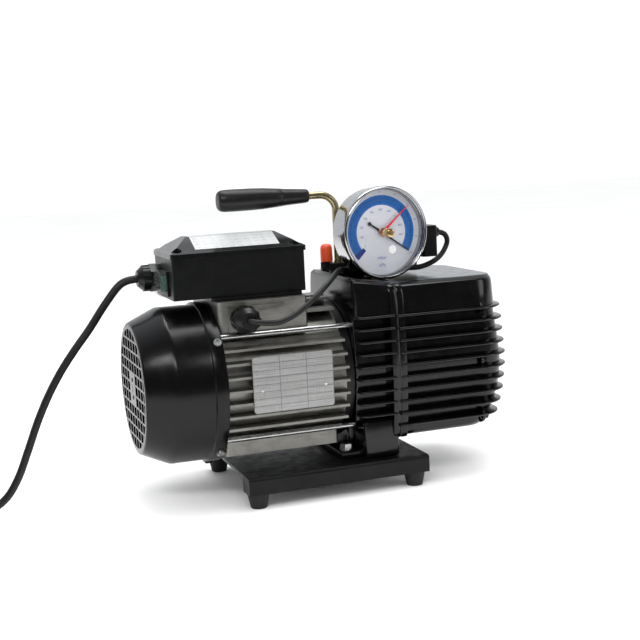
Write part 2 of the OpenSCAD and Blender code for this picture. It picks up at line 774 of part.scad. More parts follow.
module oil_reservoir() {
    top = len(end_profile) - 1;
    color("#0e0f11") difference() {
        union() {
            intersection() {
                side_prism(res_x0, 340, res_z0, res_z1, 0);
                slab(res_x0 - 20, 334, -70, 70, res_z0 - 1, res_z1 + 1, 34);
                translate([0, 90, 0]) rotate([90, 0, 0]) linear_extrude(180) polygon(concat(
                    [[res_x0, res_z0], [res_x0, res_z1], [end_x(res_z1) - 4, res_z1]],
                    [for (k = [0 : top]) [end_profile[top - k][1], end_profile[top - k][0]]]));
            }
            side_prism(res_x0, res_x0 + 6.2, 42, flange_top, 2.2);
            for (k = [0 : reservoir_fins - 1]) intersection() {
                reservoir_fin(res_fin_z1 - k * res_fin_pitch);
                block([res_x0, -80, 0], [340, 80, 200]);
            }
            // bosses of the sight glass and the drain
            xrod(300, sight_x + 3.3, 0, 94, 15);
            xrod(296, drain_x, 0, 56, 8);
        }
        block([res_x0 - 1, -52, 52], [304, 52, 170]);
        block([303, -40, 54], [314, 40, 168]);
        xrod(310, sight_x + 1, 0, 94, 10);
        xrod(sight_x, 340, 0, 94, 12.02);
        xrod(302, drain_x + 1, 0, 56, 5.02);
        xrod(drain_x, 340, 0, 56, 7.6);
        translate([247, exhaust_y, 160]) cylinder(h = 30, r = 9.02, $fn = 48);
        for (p = flange_screw_places) {
            xrod(res_x0 - 1, screw_seat_x + 1, p[0], p[1], 2.6);
            xrod(screw_seat_x, 345, p[0], p[1], 5.2);
        }
    }
}

module reservoir_screws() {
    color("#8b8e92") for (p = flange_screw_places) difference() {
        union() {
            xrod(214, screw_seat_x + 0.1, p[0], p[1], 2.5);
            xrod(screw_seat_x + 0.02, screw_seat_x + 5, p[0], p[1], 4.4);
        }
        translate([screw_seat_x + 2.2, p[0], p[1]]) rotate([0, 90, 0]) cylinder(h = 4, r = 2.4, $fn = 6);
    }
}

module sight_glass() {
    color("#c8a25a") difference() {
        xrod(sight_x + 0.02, sight_x + 3.3, 0, 94, 12);
        xrod(sight_x - 1, sight_x + 5, 0, 94, 8.5);
    }
    color("#d9dfcf") xrod(sight_x + 0.1, sight_x + 2.5, 0, 94, 8.48);
}

module drain_plug() {
    color("#b98b3e") {
        xrod(drain_x - 14, drain_x + 0.1, 0, 56, 5);
        translate([drain_x + 0.02, 0, 56]) rotate([0, 90, 0]) hex(12, 3.4);
    }
}

module exhaust_cap() {
    color("#141517") translate([247, exhaust_y, 0]) {
        translate([0, 0, 172]) cylinder(h = 10, r = 9, $fn = 48);
        translate([0, 0, 181.3]) cylinder(h = 3, r = 13, $fn = 48);
        difference() {
            translate([0, 0, 184.3]) cylinder(h = 16, r = 11.5, $fn = 48);
            for (k = [0 : 11]) rotate([0, 0, 30 * k])
                translate([11.8, 0, 183]) cylinder(h = 20, r = 1.6, $fn = 16);
        }
    }
}

// Flare fitting of the intake, standing on the body's pad.
module intake_port() {
    color("#33312b") translate([port_x, port_y, 0]) difference() {
        union() {
            translate([0, 0, 178]) cylinder(h = 10.8, r = 4.48, $fn = 32);
            translate([0, 0, deck_z]) cylinder(h = 3, r = 6, $fn = 32);
            translate([0, 0, deck_z + 2.9]) hex(10.5, 4.6);
            translate([0, 0, deck_z + 7]) cylinder(h = 11, r = 3.9, $fn = 32);
        }
        translate([0, 0, 170]) cylinder(h = 50, r = 2.4, $fn = 32);
    }
}

module intake_cap() {
    color("#e5491d") translate([port_x, port_y, deck_z + 8]) rotate_extrude($fn = 48) difference() {
        union() {
            square([5.7, 14.6]);
            translate([0, 14.6]) square([4.1, 1.6]);
            intersection() {
                translate([4.1, 14.6]) circle(1.6, $fn = 24);
                square([8, 18]);
            }
        }
        translate([-1, -1]) square([5.3, 12.6]);
        translate([-10, -5]) square([10, 30]);
    }
}

module valve_block() {
    color("#8f8567") difference() {
        union() {
            block([202.5, 5.5, deck_z + 0.02], [247, 28, deck_z + 13]);
            block([216, 3, deck_z], [241, 22, 233]);
            block([240, 5.5, 184.5], [276, 28, 193.8]);
        }
        // passage from the pad, and the gauge's threaded socket
        translate([209, 18, deck_z - 1]) cylinder(h = 10, r = 3.5, $fn = 32);
        on_gauge() translate([0, 0, -52]) cylinder(h = 22, r = 5.02, $fn = 32);
        translate([263, 16, 186]) cylinder(h = 9, r = 3, $fn = 32);
    }
    color("#b9bcc0") translate([263, 16, 193.7]) cylinder(h = 32.5, r = 6, $fn = 32);
}

module solenoid_coil() {
    color("#151617") difference() {
        block([coil_x0 + 0.5, -1.5, 193.9], [276, 30, 224]);
        translate([263, 16, 190]) cylinder(h = 40, r = 6.05, $fn = 32);
    }
    color("#b9bcc0") translate([263, 16, 226.3]) hex(12, 3);
}

module din_connector() {
    color("#1c1d1e") {
        difference() {
            slab(276.1, 290.4, -11, 17, 196.5, 225, 2);
            slab(278, 288.6, -9, 15, 198.5, 223, 1.5);
            xrod(287, 292, 2, 218, 2.6);
        }
        translate([290.4, 2, 218]) rotate([0, 90, 0]) difference() {
            union() {
                cylinder(h = 3, r = 6, $fn = 32);
                translate([0, 0, 2.9]) cylinder(h = 3.7, r1 = 6, r2 = 4, $fn = 32);
            }
            translate([0, 0, -1]) cylinder(h = 9, r = 2.5, $fn = 32);
        }
    }
}

// ---- gauge ---------------------------------------------------------------------

// Puts +Z on the gauge's axis, towards the reader, with +X to the reader's right.
module on_gauge() {
    translate([gauge_x, gauge_y, gauge_z]) rotate([0, 0, gauge_turn]) rotate([90, 0, 0]) children();
}

module gauge_case() {
    color("#c9ccd0") on_gauge() difference() {
        union() {
            difference() {
                translate([0, 0, -24]) cylinder(h = 23, r = bezel_r - 2, $fn = 96);
                translate([0, 0, -22.5]) cylinder(h = 24, r = bezel_r - 3.4, $fn = 96);
            }
            translate([0, 0, -50]) cylinder(h = 27.4, r = 5, $fn = 32);
            translate([0, 0, -36.4]) hex(13, 5.5);
        }
        translate([0, 0, -51]) cylinder(h = 30, r = 1.6, $fn = 24);
    }
}

module gauge_bezel() {
    color("#d5d7da") on_gauge() rotate_extrude($fn = 96) difference() {
        union() {
            translate([bezel_r - 4.4, -4]) square([4.4, 6.4]);
            translate([bezel_r - 2.2, 2.4]) circle(2.2, $fn = 24);
        }
        translate([bezel_r - 5, -5]) square([3.02, 6]);
    }
}

module gauge_lens() {
    color("#dfe8ea") on_gauge() difference() {
        translate([0, 0, -0.9]) cylinder(h = 1.8, r = bezel_r - 3.1, $fn = 96);
        translate([0, 0, -2]) cylinder(h = 4, r = 1.85, $fn = 32);
    }
}

module gauge_dial() {
    color("#eceef0") on_gauge() difference() {
        translate([0, 0, -7.5]) cylinder(h = 0.8, r = bezel_r - 3.5, $fn = 96);
        translate([0, 0, -8]) cylinder(h = 2, r = 1.2, $fn = 24);
    }
    color("#b9bcc0") on_gauge() difference() {
        translate([0, 0, -22.4]) cylinder(h = 14.9, r = 16, $fn = 48);
        translate([0, 0, -23]) cylinder(h = 18, r = 1.2, $fn = 24);
    }
}

module gauge_pointer() {
    color("#101010") on_gauge() rotate([0, 0, -34.5]) {
        translate([0, 0, -20]) cylinder(h = 15.5, r = 1, $fn = 24);
        translate([0, 0, -5.6]) cylinder(h = 0.9, r = 3, $fn = 32);
        translate([0, 0, -5.5]) linear_extrude(0.6)
            polygon([[-14, -0.7], [0, -1], [31.6, -0.3], [31.6, 0.3], [0, 1], [-14, 0.7]]);
        translate([-14.4, 0, -5.5]) cylinder(h = 0.6, r = 1.7, $fn = 24);
    }
}

module setting_pointer() {
    color("#c8202c") on_gauge() rotate([0, 0, 40.4]) {
        translate([0, 0, -3.6]) linear_extrude(0.6) polygon([[0, -1.3], [35, -0.25], [35, 0.25], [0, 1.3]]);
        translate([0, 0, -3.8]) cylinder(h = 1.2, r = 4, $fn = 32);
    }
    color("#a8813a") on_gauge() {
        translate([0, 0, -3]) cylinder(h = 8, r = 1.8, $fn = 32);
        translate([0, 0, 3.6]) cylinder(h = 9, r = 3.9, $fn = 48);
        translate([0, 0, 12.5]) cylinder(h = 1, r1 = 3.9, r2 = 3.1, $fn = 48);
    }
}

// ---- handle --------------------------------------------------------------------

module handle_rod() {
    bend = 15;
    r = 3.4;
    color("#b7a76a") {
        translate([rod_x, 0, 170]) cylinder(h = grip_h - bend - 170, r = r, $fn = 32);
        translate([rod_x, 0, 170]) cylinder(h = 29, r = 4, $fn = 32);
        translate([rod_x - bend, 0, grip_h - bend]) rotate([90, 0, 0])
            rotate_extrude(angle = 90, $fn = 64) translate([bend, 0]) circle(r, $fn = 32);
        xrod(92, rod_x - bend, 0, grip_h, r);
    }
}

module handle_grip() {
    x0 = 169.5 - grip_len;
    color("#18191b") difference() {
        translate([x0, 0, grip_h]) rotate([0, 90, 0]) rotate_extrude($fn = 48)
            polygon([[0, 0], [6.8, 0], [9.7, 4.5], [9.9, 12], [9.0, 30], [9.3, 44], [9.4, 58],
                [8.9, 59], [8.7, 62], [7.9, 78], [6.2, 82.5], [5.6, grip_len], [0, grip_len]]);
        xrod(91.9, 170, 0, grip_h, 3.41);
    }
}

module handle_nut() {
    color("#1c1d1f") translate([rod_x, 0, deck_z]) difference() {
        union() {
            cylinder(h = 1.4, r = 8.6, $fn = 48);
            translate([0, 0, 1.3]) hex(14.6, 7);
        }
        translate([0, 0, -1]) cylinder(h = 12, r = 4.02, $fn = 32);
    }
}

// ---- pump cartridge ------------------------------------------------------------

module pump_rotor() {
    color("#9ea1a5") difference() {
        union() {
            xcyl(208, 290, 7);
            for (s = [stage1, stage2]) xcyl(s[0] + 0.2, s[1] - 0.2, rotor_pump_r, fn = 96);
            block([201.3, -3, zc - 12], [208.1, 3, zc + 12]);
            xcyl(206.2, 209, 12);
        }
        for (s = [stage1, stage2]) for (d = [-1, 1])
            block([s[0] - 1, d > 0 ? 8.5 : -30, zc - vane_t / 2 - slot_clear],
                [s[1] + 1, d > 0 ? 30 : -8.5, zc + vane_t / 2 + slot_clear]);
    }
}

module stage_cylinder(s) {
    difference() {
        xrod(s[0] - 0.1, s[1] + 0.1, 0, bore_z, 42, 96);
        xrod(s[0] - 1, s[1] + 1, 0, bore_z, bore_r, 96);
        for (y = [-26, 26], z = [-24, 24]) xrod(s[0] - 1, s[1] + 1, y, bore_z + z, 2.6, 24);
        // outlet drilling
        translate([(s[0] + s[1]) / 2, 10, bore_z]) cylinder(h = 45, r = 3, $fn = 24);
    }
}

module pump_cylinders() {
    color("#75787c") {
        stage_cylinder(stage1);
        stage_cylinder(stage2);
    }
}

module pump_end_plates() {
    plates = [
        [flange_x + 0.02, stage1[0] - 0.15], [stage1[1] + 0.15, stage2[0] - 0.15], [stage2[1] + 0.15, 288]
    ];
    color("#63666a") for (p = plates) difference() {
        xrod(p[0], p[1], 0, bore_z, 42, 96);
        xcyl(p[0] - 1, p[1] + 1, 7.04);
        for (y = [-26, 26], z = [-24, 24]) xrod(p[0] - 1, p[1] + 1, y, bore_z + z, 2.6, 24);
    }
    color("#b9bcc0") for (y = [-26, 26], z = [-24, 24]) {
        xrod(flange_x + 0.1, 290, y, bore_z + z, 2.5, 24);
        translate([288.05, y, bore_z + z]) rotate([0, 90, 0]) hex(8, 4);
    }
}

module vane(s, d) {
    tip = rotor_pump_r - 0.1;
    color("#4b3a2c") block([s[0] + 0.25, d > 0 ? tip - vane_h : -tip, zc - vane_t / 2],
        [s[1] - 0.25, d > 0 ? tip : vane_h - tip, zc + vane_t / 2]);
}

module vane_1a() { vane(stage1, 1); }
module vane_1b() { vane(stage1, -1); }
module vane_2a() { vane(stage2, 1); }
module vane_2b() { vane(stage2, -1); }

// ---- nodes ---------------------------------------------------------------------

place() base_plate();
place() rubber_feet();
place() base_screws();
place() motor_housing();
place() fan_shield();
place() drive_shield();
place() fan_cover();
place() fan_cover_screws();
place() tie_rods();
place() stator_core();
place() stator_windings();
place() nameplate();
place() nameplate_rivets();
place() cooling_fan();
place() motor_shaft();
place() rotor_core();
place() bearing_outer_rings();
place() bearing_inner_rings();
place() bearing_balls();
place() box_adaptor();
place() terminal_box();
place() terminal_box_lid();
place() lid_screws();
place() switch_body();
place() switch_rocker();
place() switch_boot();
place() cord_gland();
place() power_cord();
place() power_cord_coil();
place() power_plug();
place() valve_gland();
place() valve_cable();
place() pump_body();
place() flange_gasket();
place() oil_reservoir();
place() reservoir_screws();
place() sight_glass();
place() drain_plug();
place() exhaust_cap();
place() intake_port();
place() intake_cap();
place() valve_block();
place() solenoid_coil();
place() din_connector();
place() gauge_case();
place() gauge_bezel();
place() gauge_lens();
place() gauge_dial();
place() gauge_pointer();
place() setting_pointer();
place() handle_rod();
place() handle_grip();
place() handle_nut();
place() pump_rotor();
place() pump_cylinders();
place() pump_end_plates();
place() vane_1a();
place() vane_1b();
place() vane_2a();
place() vane_2b();
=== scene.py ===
import json
import math

import bmesh
import bpy
from mathutils import Matrix, Vector

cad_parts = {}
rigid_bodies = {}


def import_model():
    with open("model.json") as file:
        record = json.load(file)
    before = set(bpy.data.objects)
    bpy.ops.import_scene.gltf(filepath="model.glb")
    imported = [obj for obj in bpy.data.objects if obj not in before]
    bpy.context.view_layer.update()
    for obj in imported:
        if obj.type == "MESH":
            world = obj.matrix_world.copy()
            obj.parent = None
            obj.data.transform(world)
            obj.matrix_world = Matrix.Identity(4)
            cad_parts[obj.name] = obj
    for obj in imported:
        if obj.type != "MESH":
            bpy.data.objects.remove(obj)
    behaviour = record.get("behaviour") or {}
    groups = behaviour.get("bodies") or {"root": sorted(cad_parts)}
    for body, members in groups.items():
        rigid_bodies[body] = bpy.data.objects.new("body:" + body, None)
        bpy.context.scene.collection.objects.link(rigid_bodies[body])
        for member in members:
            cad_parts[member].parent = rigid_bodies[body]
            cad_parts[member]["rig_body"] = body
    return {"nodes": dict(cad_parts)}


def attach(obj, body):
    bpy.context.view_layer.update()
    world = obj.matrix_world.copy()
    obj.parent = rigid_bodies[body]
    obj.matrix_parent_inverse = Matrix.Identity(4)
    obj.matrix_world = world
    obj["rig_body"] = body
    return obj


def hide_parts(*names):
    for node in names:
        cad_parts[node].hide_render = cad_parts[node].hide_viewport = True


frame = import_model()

bl_info = {
    "name": "Rotary vane vacuum pump",
    "version": (1, 0, 0),
    "blender": (4, 5, 0),
    "location": "View3D > Sidebar > Vacuum pump",
    "description": "Builds the visible pieces of a portable rotary vane vacuum pump",
    "category": "Object",
}

MID = 168.8            # X of the frame's origin, counted from the fan cover's grille
AXIS_Z = 101.5         # height of the motor's shaft
ROOT = "pump_unit"


# ---- places and meshes ---------------------------------------------------------

def at(x, y, z):
    """A point counted in millimetres from the grille, as a vector of the frame in metres."""
    return Vector(((x - MID) / 1000, y / 1000, z / 1000))


def mesh_of(name, verts, faces):
    mesh = bpy.data.meshes.new(name)
    mesh.from_pydata([tuple(v) for v in verts], [], faces)
    return mesh


def linked(name, data, body=None):
    """A new object in the scene's collection, on its body if one is given."""
    obj = bpy.data.objects.new(name, data)
    bpy.context.scene.collection.objects.link(obj)
    if body:
        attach(obj, body)
    return obj


def as_piece(name, mesh, material, body=ROOT, smooth=35.0):
    """Makes a plain object of a mesh, smooth up to an angle."""
    mesh.validate()
    mesh.shade_smooth()
    mesh.set_sharp_from_angle(angle=math.radians(smooth))
    if material is not None:
        mesh.materials.clear()
        mesh.materials.append(material)
    return linked(name, mesh, body)


def outward(mesh, merge=1e-6):
    bm = bmesh.new()
    bm.from_mesh(mesh)
    bmesh.ops.remove_doubles(bm, verts=bm.verts, dist=merge)
    bmesh.ops.recalc_face_normals(bm, faces=bm.faces)
    bm.to_mesh(mesh)
    bm.free()


def settle(obj):
    """Turns an object with modifiers into a plain mesh object of its own."""
    deps = bpy.context.evaluated_depsgraph_get()
    mesh = bpy.data.meshes.new_from_object(obj.evaluated_get(deps))
    old = obj.data
    obj.modifiers.clear()
    obj.data = mesh
    if old.users == 0 and isinstance(old, bpy.types.Mesh):
        bpy.data.meshes.remove(old)


def joined(name, parts, body=ROOT, material=None):
    """One object out of several plain ones; their materials are kept unless one is given."""
    bm = bmesh.new()
    slots = []
    for part in parts:
        if material is not None:
            part.data.materials.clear()
            part.data.materials.append(material)
        start = len(bm.faces)
        bm.from_mesh(part.data)
        bm.faces.ensure_lookup_table()
        index = []
        for m in part.data.materials:
            if m not in slots:
                slots.append(m)
            index.append(slots.index(m))
        for face in bm.faces[start:]:
            face.material_index = index[face.material_index] if index else 0
        old = part.data
        bpy.data.objects.remove(part)
        if old.users == 0:
            bpy.data.meshes.remove(old)
    mesh = bpy.data.meshes.new(name)
    bm.to_mesh(mesh)
    bm.free()
    for m in slots:
        mesh.materials.append(m)
    return linked(name, mesh, body)


def refined(node, width, material, segments=2, angle=32.0, cut=None):
    """A piece on a node's shape with its edges rounded; what lies before a cut in X is left out."""
    source = frame["nodes"][node]
    mesh = source.data.copy()
    bm = bmesh.new()
    bm.from_mesh(mesh)
    bmesh.ops.remove_doubles(bm, verts=bm.verts, dist=2e-6)
    if cut is not None:
        sliced = bmesh.ops.bisect_plane(bm, geom=bm.verts[:] + bm.edges[:] + bm.faces[:], plane_co=at(cut, 0, 0),
                                        plane_no=(1, 0, 0), clear_inner=True)
        rim = [e for e in sliced["geom_cut"] if isinstance(e, bmesh.types.BMEdge)]
        bmesh.ops.holes_fill(bm, edges=rim)
        bmesh.ops.recalc_face_normals(bm, faces=bm.faces)
    bmesh.ops.dissolve_limit(bm, angle_limit=math.radians(0.6), verts=bm.verts, edges=bm.edges)
    bm.to_mesh(mesh)
    bm.free()
    obj = linked(node + "_finished", mesh)
    mesh.materials.clear()
    mesh.materials.append(material)
    mesh.shade_smooth()
    bevel = obj.modifiers.new("edges", "BEVEL")
    bevel.width = width / 1000
    bevel.segments = segments
    bevel.limit_method = "ANGLE"
    bevel.angle_limit = math.radians(angle)
    bevel.use_clamp_overlap = True
    bevel.miter_outer = "MITER_ARC"
    weighted = obj.modifiers.new("normals", "WEIGHTED_NORMAL")
    weighted.keep_sharp = True
    settle(obj)
    obj.data.set_sharp_from_angle(angle=math.radians(48))
    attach(obj, source["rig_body"])
    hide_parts(node)
    return obj


def skin(rings, around, wrap=False):
    """Quads between rings of points that follow one another in a list."""
    faces = []
    for i in range(rings if wrap else rings - 1):
        j = (i + 1) % rings
        for k in range(around):
            m = (k + 1) % around
            faces.append([i * around + k, i * around + m, j * around + m, j * around + k])
    return faces


def end_faces(rings, around):
    """The first and the last ring as faces that look outwards."""
    return [list(range(around - 1, -1, -1)), [(rings - 1) * around + k for k in range(around)]]


def lathe(name, profile, origin, direction, material, steps=72, body=ROOT, smooth=32.0, closed=False):
    """Turns (along, radius) points in millimetres about an axis through origin."""
    direction = Vector(direction).normalized()
    side = direction.orthogonal().normalized()
    over = direction.cross(side)
    verts = []
    for along, radius in profile:
        for k in range(steps):
            a = 2 * math.pi * k / steps
            spoke = side * math.cos(a) + over * math.sin(a)
            verts.append(origin + (direction * along + spoke * max(radius, 0.0)) / 1000)
    mesh = mesh_of(name, verts, skin(len(profile), steps, closed))
    outward(mesh)
    return as_piece(name, mesh, material, body, smooth)


def arc(cx, cy, radius, start, end, steps):
    """Points on an arc, in degrees, for a profile."""
    return [(cx + radius * math.cos(math.radians(start + (end - start) * k / steps)),
             cy + radius * math.sin(math.radians(start + (end - start) * k / steps)))
            for k in range(steps + 1)]


def loft(name, rings, material, body=ROOT, smooth=35.0):
    """Skins rings of equal count, given as points of the frame in metres, and closes both ends."""
    count, n = len(rings), len(rings[0])
    mesh = mesh_of(name, [p for ring in rings for p in ring], skin(count, n) + end_faces(count, n))
    outward(mesh)
    return as_piece(name, mesh, material, body, smooth)


def spline_through(points, step):
    """Catmull-Rom points about step metres apart through the route's points."""
    out = []
    last = len(points) - 1
    for i in range(last):
        a = points[max(i - 1, 0)]
        b = points[i]
        c = points[i + 1]
        d = points[min(i + 2, last)]
        count = max(1, int(math.ceil((c - b).length / step)))
        for k in range(count):
            t = k / count
            out.append(0.5 * (2 * b + (c - a) * t + (2 * a - 5 * b + 4 * c - d) * t * t
                              + (3 * b - a - 3 * c + d) * t ** 3))
    out.append(points[-1])
    return out


def tube(name, path, radius, material, sides):
    """A round tube along a path, with its length in the U of its UV map."""
    tangents = []
    for i in range(len(path)):
        tangents.append((path[min(i + 1, len(path) - 1)] - path[max(i - 1, 0)]).normalized())
    normal = tangents[0].orthogonal().normalized()
    rings = []
    for i, t in enumerate(tangents):
        normal = (normal - t * normal.dot(t)).normalized()
        other = t.cross(normal)
        rings.append([path[i] + radius * (math.cos(2 * math.pi * k / sides) * normal
                                          + math.sin(2 * math.pi * k / sides) * other) for k in range(sides)])
    count = len(rings)
    mesh = mesh_of(name, [p for ring in rings for p in ring], skin(count, sides) + end_faces(count, sides))
    uv = mesh.uv_layers.new(name="along")
    run = [0.0]
    for a, b in zip(path, path[1:]):
        run.append(run[-1] + (b - a).length)
    for face in mesh.polygons:
        for loop in face.loop_indices:
            v = mesh.loops[loop].vertex_index
            uv.data[loop].uv = (run[v // sides], (v % sides) / sides)
    bm = bmesh.new()
    bm.from_mesh(mesh)
    bmesh.ops.recalc_face_normals(bm, faces=bm.faces)
    bm.to_mesh(mesh)
    bm.free()
    return as_piece(name, mesh, material, ROOT, 60.0)


# ---- trees for what repeats --------------------------------------------------------

class Growth:
    """A Geometry Nodes tree with named inputs; run() gives its result as a plain mesh."""

    def __init__(self, name, inputs):
        self.name = name
        self.tree = bpy.data.node_groups.new(name, "GeometryNodeTree")
        self.tree.interface.new_socket("Geometry", in_out="OUTPUT", socket_type="NodeSocketGeometry")
        self.tree.interface.new_socket("Geometry", in_out="INPUT", socket_type="NodeSocketGeometry")
        self.ids = {}
        for key, kind in inputs:
            self.ids[key] = self.tree.interface.new_socket(
                key, in_out="INPUT", socket_type="NodeSocket" + kind).identifier
        self.given = self.tree.nodes.new("NodeGroupInput").outputs

    def node(self, kind, values=None, **settings):
        made = self.tree.nodes.new(kind)
        for key, value in settings.items():
            setattr(made, key, value)
        for key, value in (values or {}).items():
            if isinstance(value, bpy.types.NodeSocket):
                self.tree.links.new(value, made.inputs[key])
            else:
                made.inputs[key].default_value = value
        return made

    def math(self, operation, a, b=0.0):
        return self.node("ShaderNodeMath", {0: a, 1: b}, operation=operation).outputs[0]

    def vector(self, x=0.0, y=0.0, z=0.0):
        return self.node("ShaderNodeCombineXYZ", {0: x, 1: y, 2: z}).outputs[0]

    def end(self, geometry):
        real = self.node("GeometryNodeRealizeInstances", {"Geometry": geometry})
        given = self.node("GeometryNodeSetMaterial", {
            "Geometry": real.outputs[0], "Material": self.given["Material"]})
        self.tree.links.new(given.outputs[0], self.node("NodeGroupOutput").inputs[0])

    def run(self, name, values, source=None, body=ROOT, place=None, smooth=35.0):
        obj = linked(name, source or bpy.data.meshes.new(name))
        grown = obj.modifiers.new(self.name, "NODES")
        grown.node_group = self.tree
        for key, value in values.items():
            grown[self.ids[key]] = value
        settle(obj)
        if place is not None:
            obj.data.transform(place)
        obj.data.shade_smooth()
        obj.data.set_sharp_from_angle(angle=math.radians(smooth))
        if body:
            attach(obj, body)
        return obj


def grille_tree():
    """Parallel bars inside a round opening, each as long as its chord."""
    g = Growth("grille bars", [("Bars", "Int"), ("Pitch", "Float"), ("Reach", "Float"), ("Width", "Float"),
                               ("Depth", "Float"), ("Material", "Material")])
    first = g.math("MULTIPLY", g.math("MULTIPLY", g.math("SUBTRACT", g.given["Bars"], 1.0), -0.5), g.given["Pitch"])
    line = g.node("GeometryNodeMeshLine", {
        "Count": g.given["Bars"], "Start Location": g.vector(0.0, first, 0.0),
        "Offset": g.vector(0.0, g.given["Pitch"], 0.0)})
    y = g.node("ShaderNodeSeparateXYZ", {0: g.node("GeometryNodeInputPosition").outputs[0]}).outputs[1]
    gone = g.math("SUBTRACT", g.math("MULTIPLY", g.given["Reach"], g.given["Reach"]), g.math("MULTIPLY", y, y))
    chord = g.math("MULTIPLY", g.math("SQRT", gone), 2.0)
    bar = g.node("GeometryNodeMeshCube", {"Size": g.vector(g.given["Depth"], g.given["Width"], 1.0)})
    bars = g.node("GeometryNodeInstanceOnPoints", {
        "Points": line.outputs[0], "Instance": bar.outputs[0], "Scale": g.vector(1.0, 1.0, chord)})
    g.end(bars.outputs[0])
    return g


def ring_tree():
    """Small upright bars at even angles round a circle, such as ticks on a dial or ridges on a knob."""
    g = Growth("bars round a circle", [("Count", "Int"), ("Start", "Float"), ("Sweep", "Float"), ("Radius", "Float"),
                                       ("Length", "Float"), ("Width", "Float"), ("Height", "Float"),
                                       ("Material", "Material")])
    index = g.node("GeometryNodeInputIndex").outputs[0]
    share = g.math("DIVIDE", index, g.math("SUBTRACT", g.given["Count"], 1.0))
    angle = g.math("SUBTRACT", g.given["Start"], g.math("MULTIPLY", share, g.given["Sweep"]))
    spot = g.vector(g.math("MULTIPLY", g.given["Radius"], g.math("COSINE", angle)),
                    g.math("MULTIPLY", g.given["Radius"], g.math("SINE", angle)), 0.0)
    points = g.node("GeometryNodePoints", {"Count": g.given["Count"], "Position": spot})
    bar = g.node("GeometryNodeMeshCube", {"Size": g.vector(g.given["Length"], g.given["Width"], g.given["Height"])})
    turned = g.node("FunctionNodeEulerToRotation", {0: g.vector(0.0, 0.0, angle)})
    bars = g.node("GeometryNodeInstanceOnPoints", {
        "Points": points.outputs[0], "Instance": bar.outputs[0], "Rotation": turned.outputs[0]})
    g.end(bars.outputs[0])
    return g


def copies_tree():
    """Copies of one shape at the source's points, turned and sized by the points' own values."""
    g = Growth("placed copies", [("Shape", "Object"), ("Size", "Float"), ("Material", "Material")])
    shape = g.node("GeometryNodeObjectInfo", {"Object": g.given["Shape"]}, transform_space="ORIGINAL")
    turn = g.node("GeometryNodeInputNamedAttribute", {"Name": "turn"}, data_type="FLOAT_VECTOR")
    size = g.node("GeometryNodeInputNamedAttribute", {"Name": "size"}, data_type="FLOAT_VECTOR")
    scaled = g.node("ShaderNodeVectorMath", {0: size.outputs[0]}, operation="SCALE")
    g.tree.links.new(g.given["Size"], scaled.inputs["Scale"])
    turned = g.node("FunctionNodeEulerToRotation", {0: turn.outputs[0]})
    copies = g.node("GeometryNodeInstanceOnPoints", {
        "Points": g.given["Geometry"], "Instance": shape.outputs["Geometry"],
        "Rotation": turned.outputs[0], "Scale": scaled.outputs[0]})
    g.end(copies.outputs[0])
    return g


TREES = {}


def tree(key):
    if key not in TREES:
        TREES[key] = {"grille": grille_tree, "ring": ring_tree, "copies": copies_tree}[key]()
    return TREES[key]


def placed_copies(name, shape, places, material, body=ROOT, smooth=35.0):
    """places are (point in the frame, turn as Euler angles in degrees, size as three factors)."""
    mesh = mesh_of(name + "_places", [p[0] for p in places], [])
    for key, column in (("turn", 1), ("size", 2)):
        kept = mesh.attributes.new(key, "FLOAT_VECTOR", "POINT")
        for spot, p in zip(kept.data, places):
            spot.vector = [math.radians(v) for v in p[1]] if key == "turn" else p[2]
    obj = tree("copies").run(name, {"Shape": shape, "Size": 1.0, "Material": material}, mesh, body, None, smooth)
    shape_mesh = shape.data
    bpy.data.objects.remove(shape)
    bpy.data.meshes.remove(shape_mesh)
    return obj


def rounded_block(name, low, high, width, material, segments=2):
    """A block between two design points with its edges rounded."""
    bm = bmesh.new()
    bmesh.ops.create_cube(bm, size=1.0)
    a, b = at(*low), at(*high)
    for v in bm.verts:
        v.co = Vector([(a[i] + b[i]) / 2 + v.co[i] * (b[i] - a[i]) for i in range(3)])
    bmesh.ops.bevel(bm, geom=bm.edges, offset=width / 1000, segments=segments, profile=0.5, affect="EDGES")
    mesh = bpy.data.meshes.new(name)
    bm.to_mesh(mesh)
    bm.free()
    return as_piece(name, mesh, material, None, 30.0)


def chaikin(points, rounds=2):
    """Cuts the corners of an open line of tuples, keeping its ends."""
    for _ in range(rounds):
        out = [points[0]]
        for a, b in zip(points, points[1:]):
            out.append(tuple(0.75 * u + 0.25 * v for u, v in zip(a, b)))
            out.append(tuple(0.25 * u + 0.75 * v for u, v in zip(a, b)))
        out.append(points[-1])
        points = out
    return points


def between(rows, z):
    """Linear lookup of a value over height."""
    if z <= rows[0][0]:
        return rows[0][1]
    for (z0, v0), (z1, v1) in zip(rows, rows[1:]):
        if z <= z1:
            return v0 + (v1 - v0) * (z - z0) / (z1 - z0)
    return rows[-1][1]


def plan_ring(z, x0, x1, half, corner0, corner1, steps=7, back0=None):
    """A level outline: sides at +-half, corners rounded by corner0 at x0, corner1 at x1 and back0 at x0, +half."""
    ring = []
    for cx, sx, sy, radius in ((x1, 1, 1, corner1), (x0, -1, 1, back0 or corner0), (x0, -1, -1, corner0),
                               (x1, 1, -1, corner1)):
        start = {(1, 1): 0, (-1, 1): 90, (-1, -1): 180, (1, -1): 270}[(sx, sy)]
        for px, py in arc(cx - sx * radius, sy * (half - radius), radius, start, start + 90, steps):
            ring.append(at(px, py, z))
    return ring


# ---- finishes --------------------------------------------------------------------

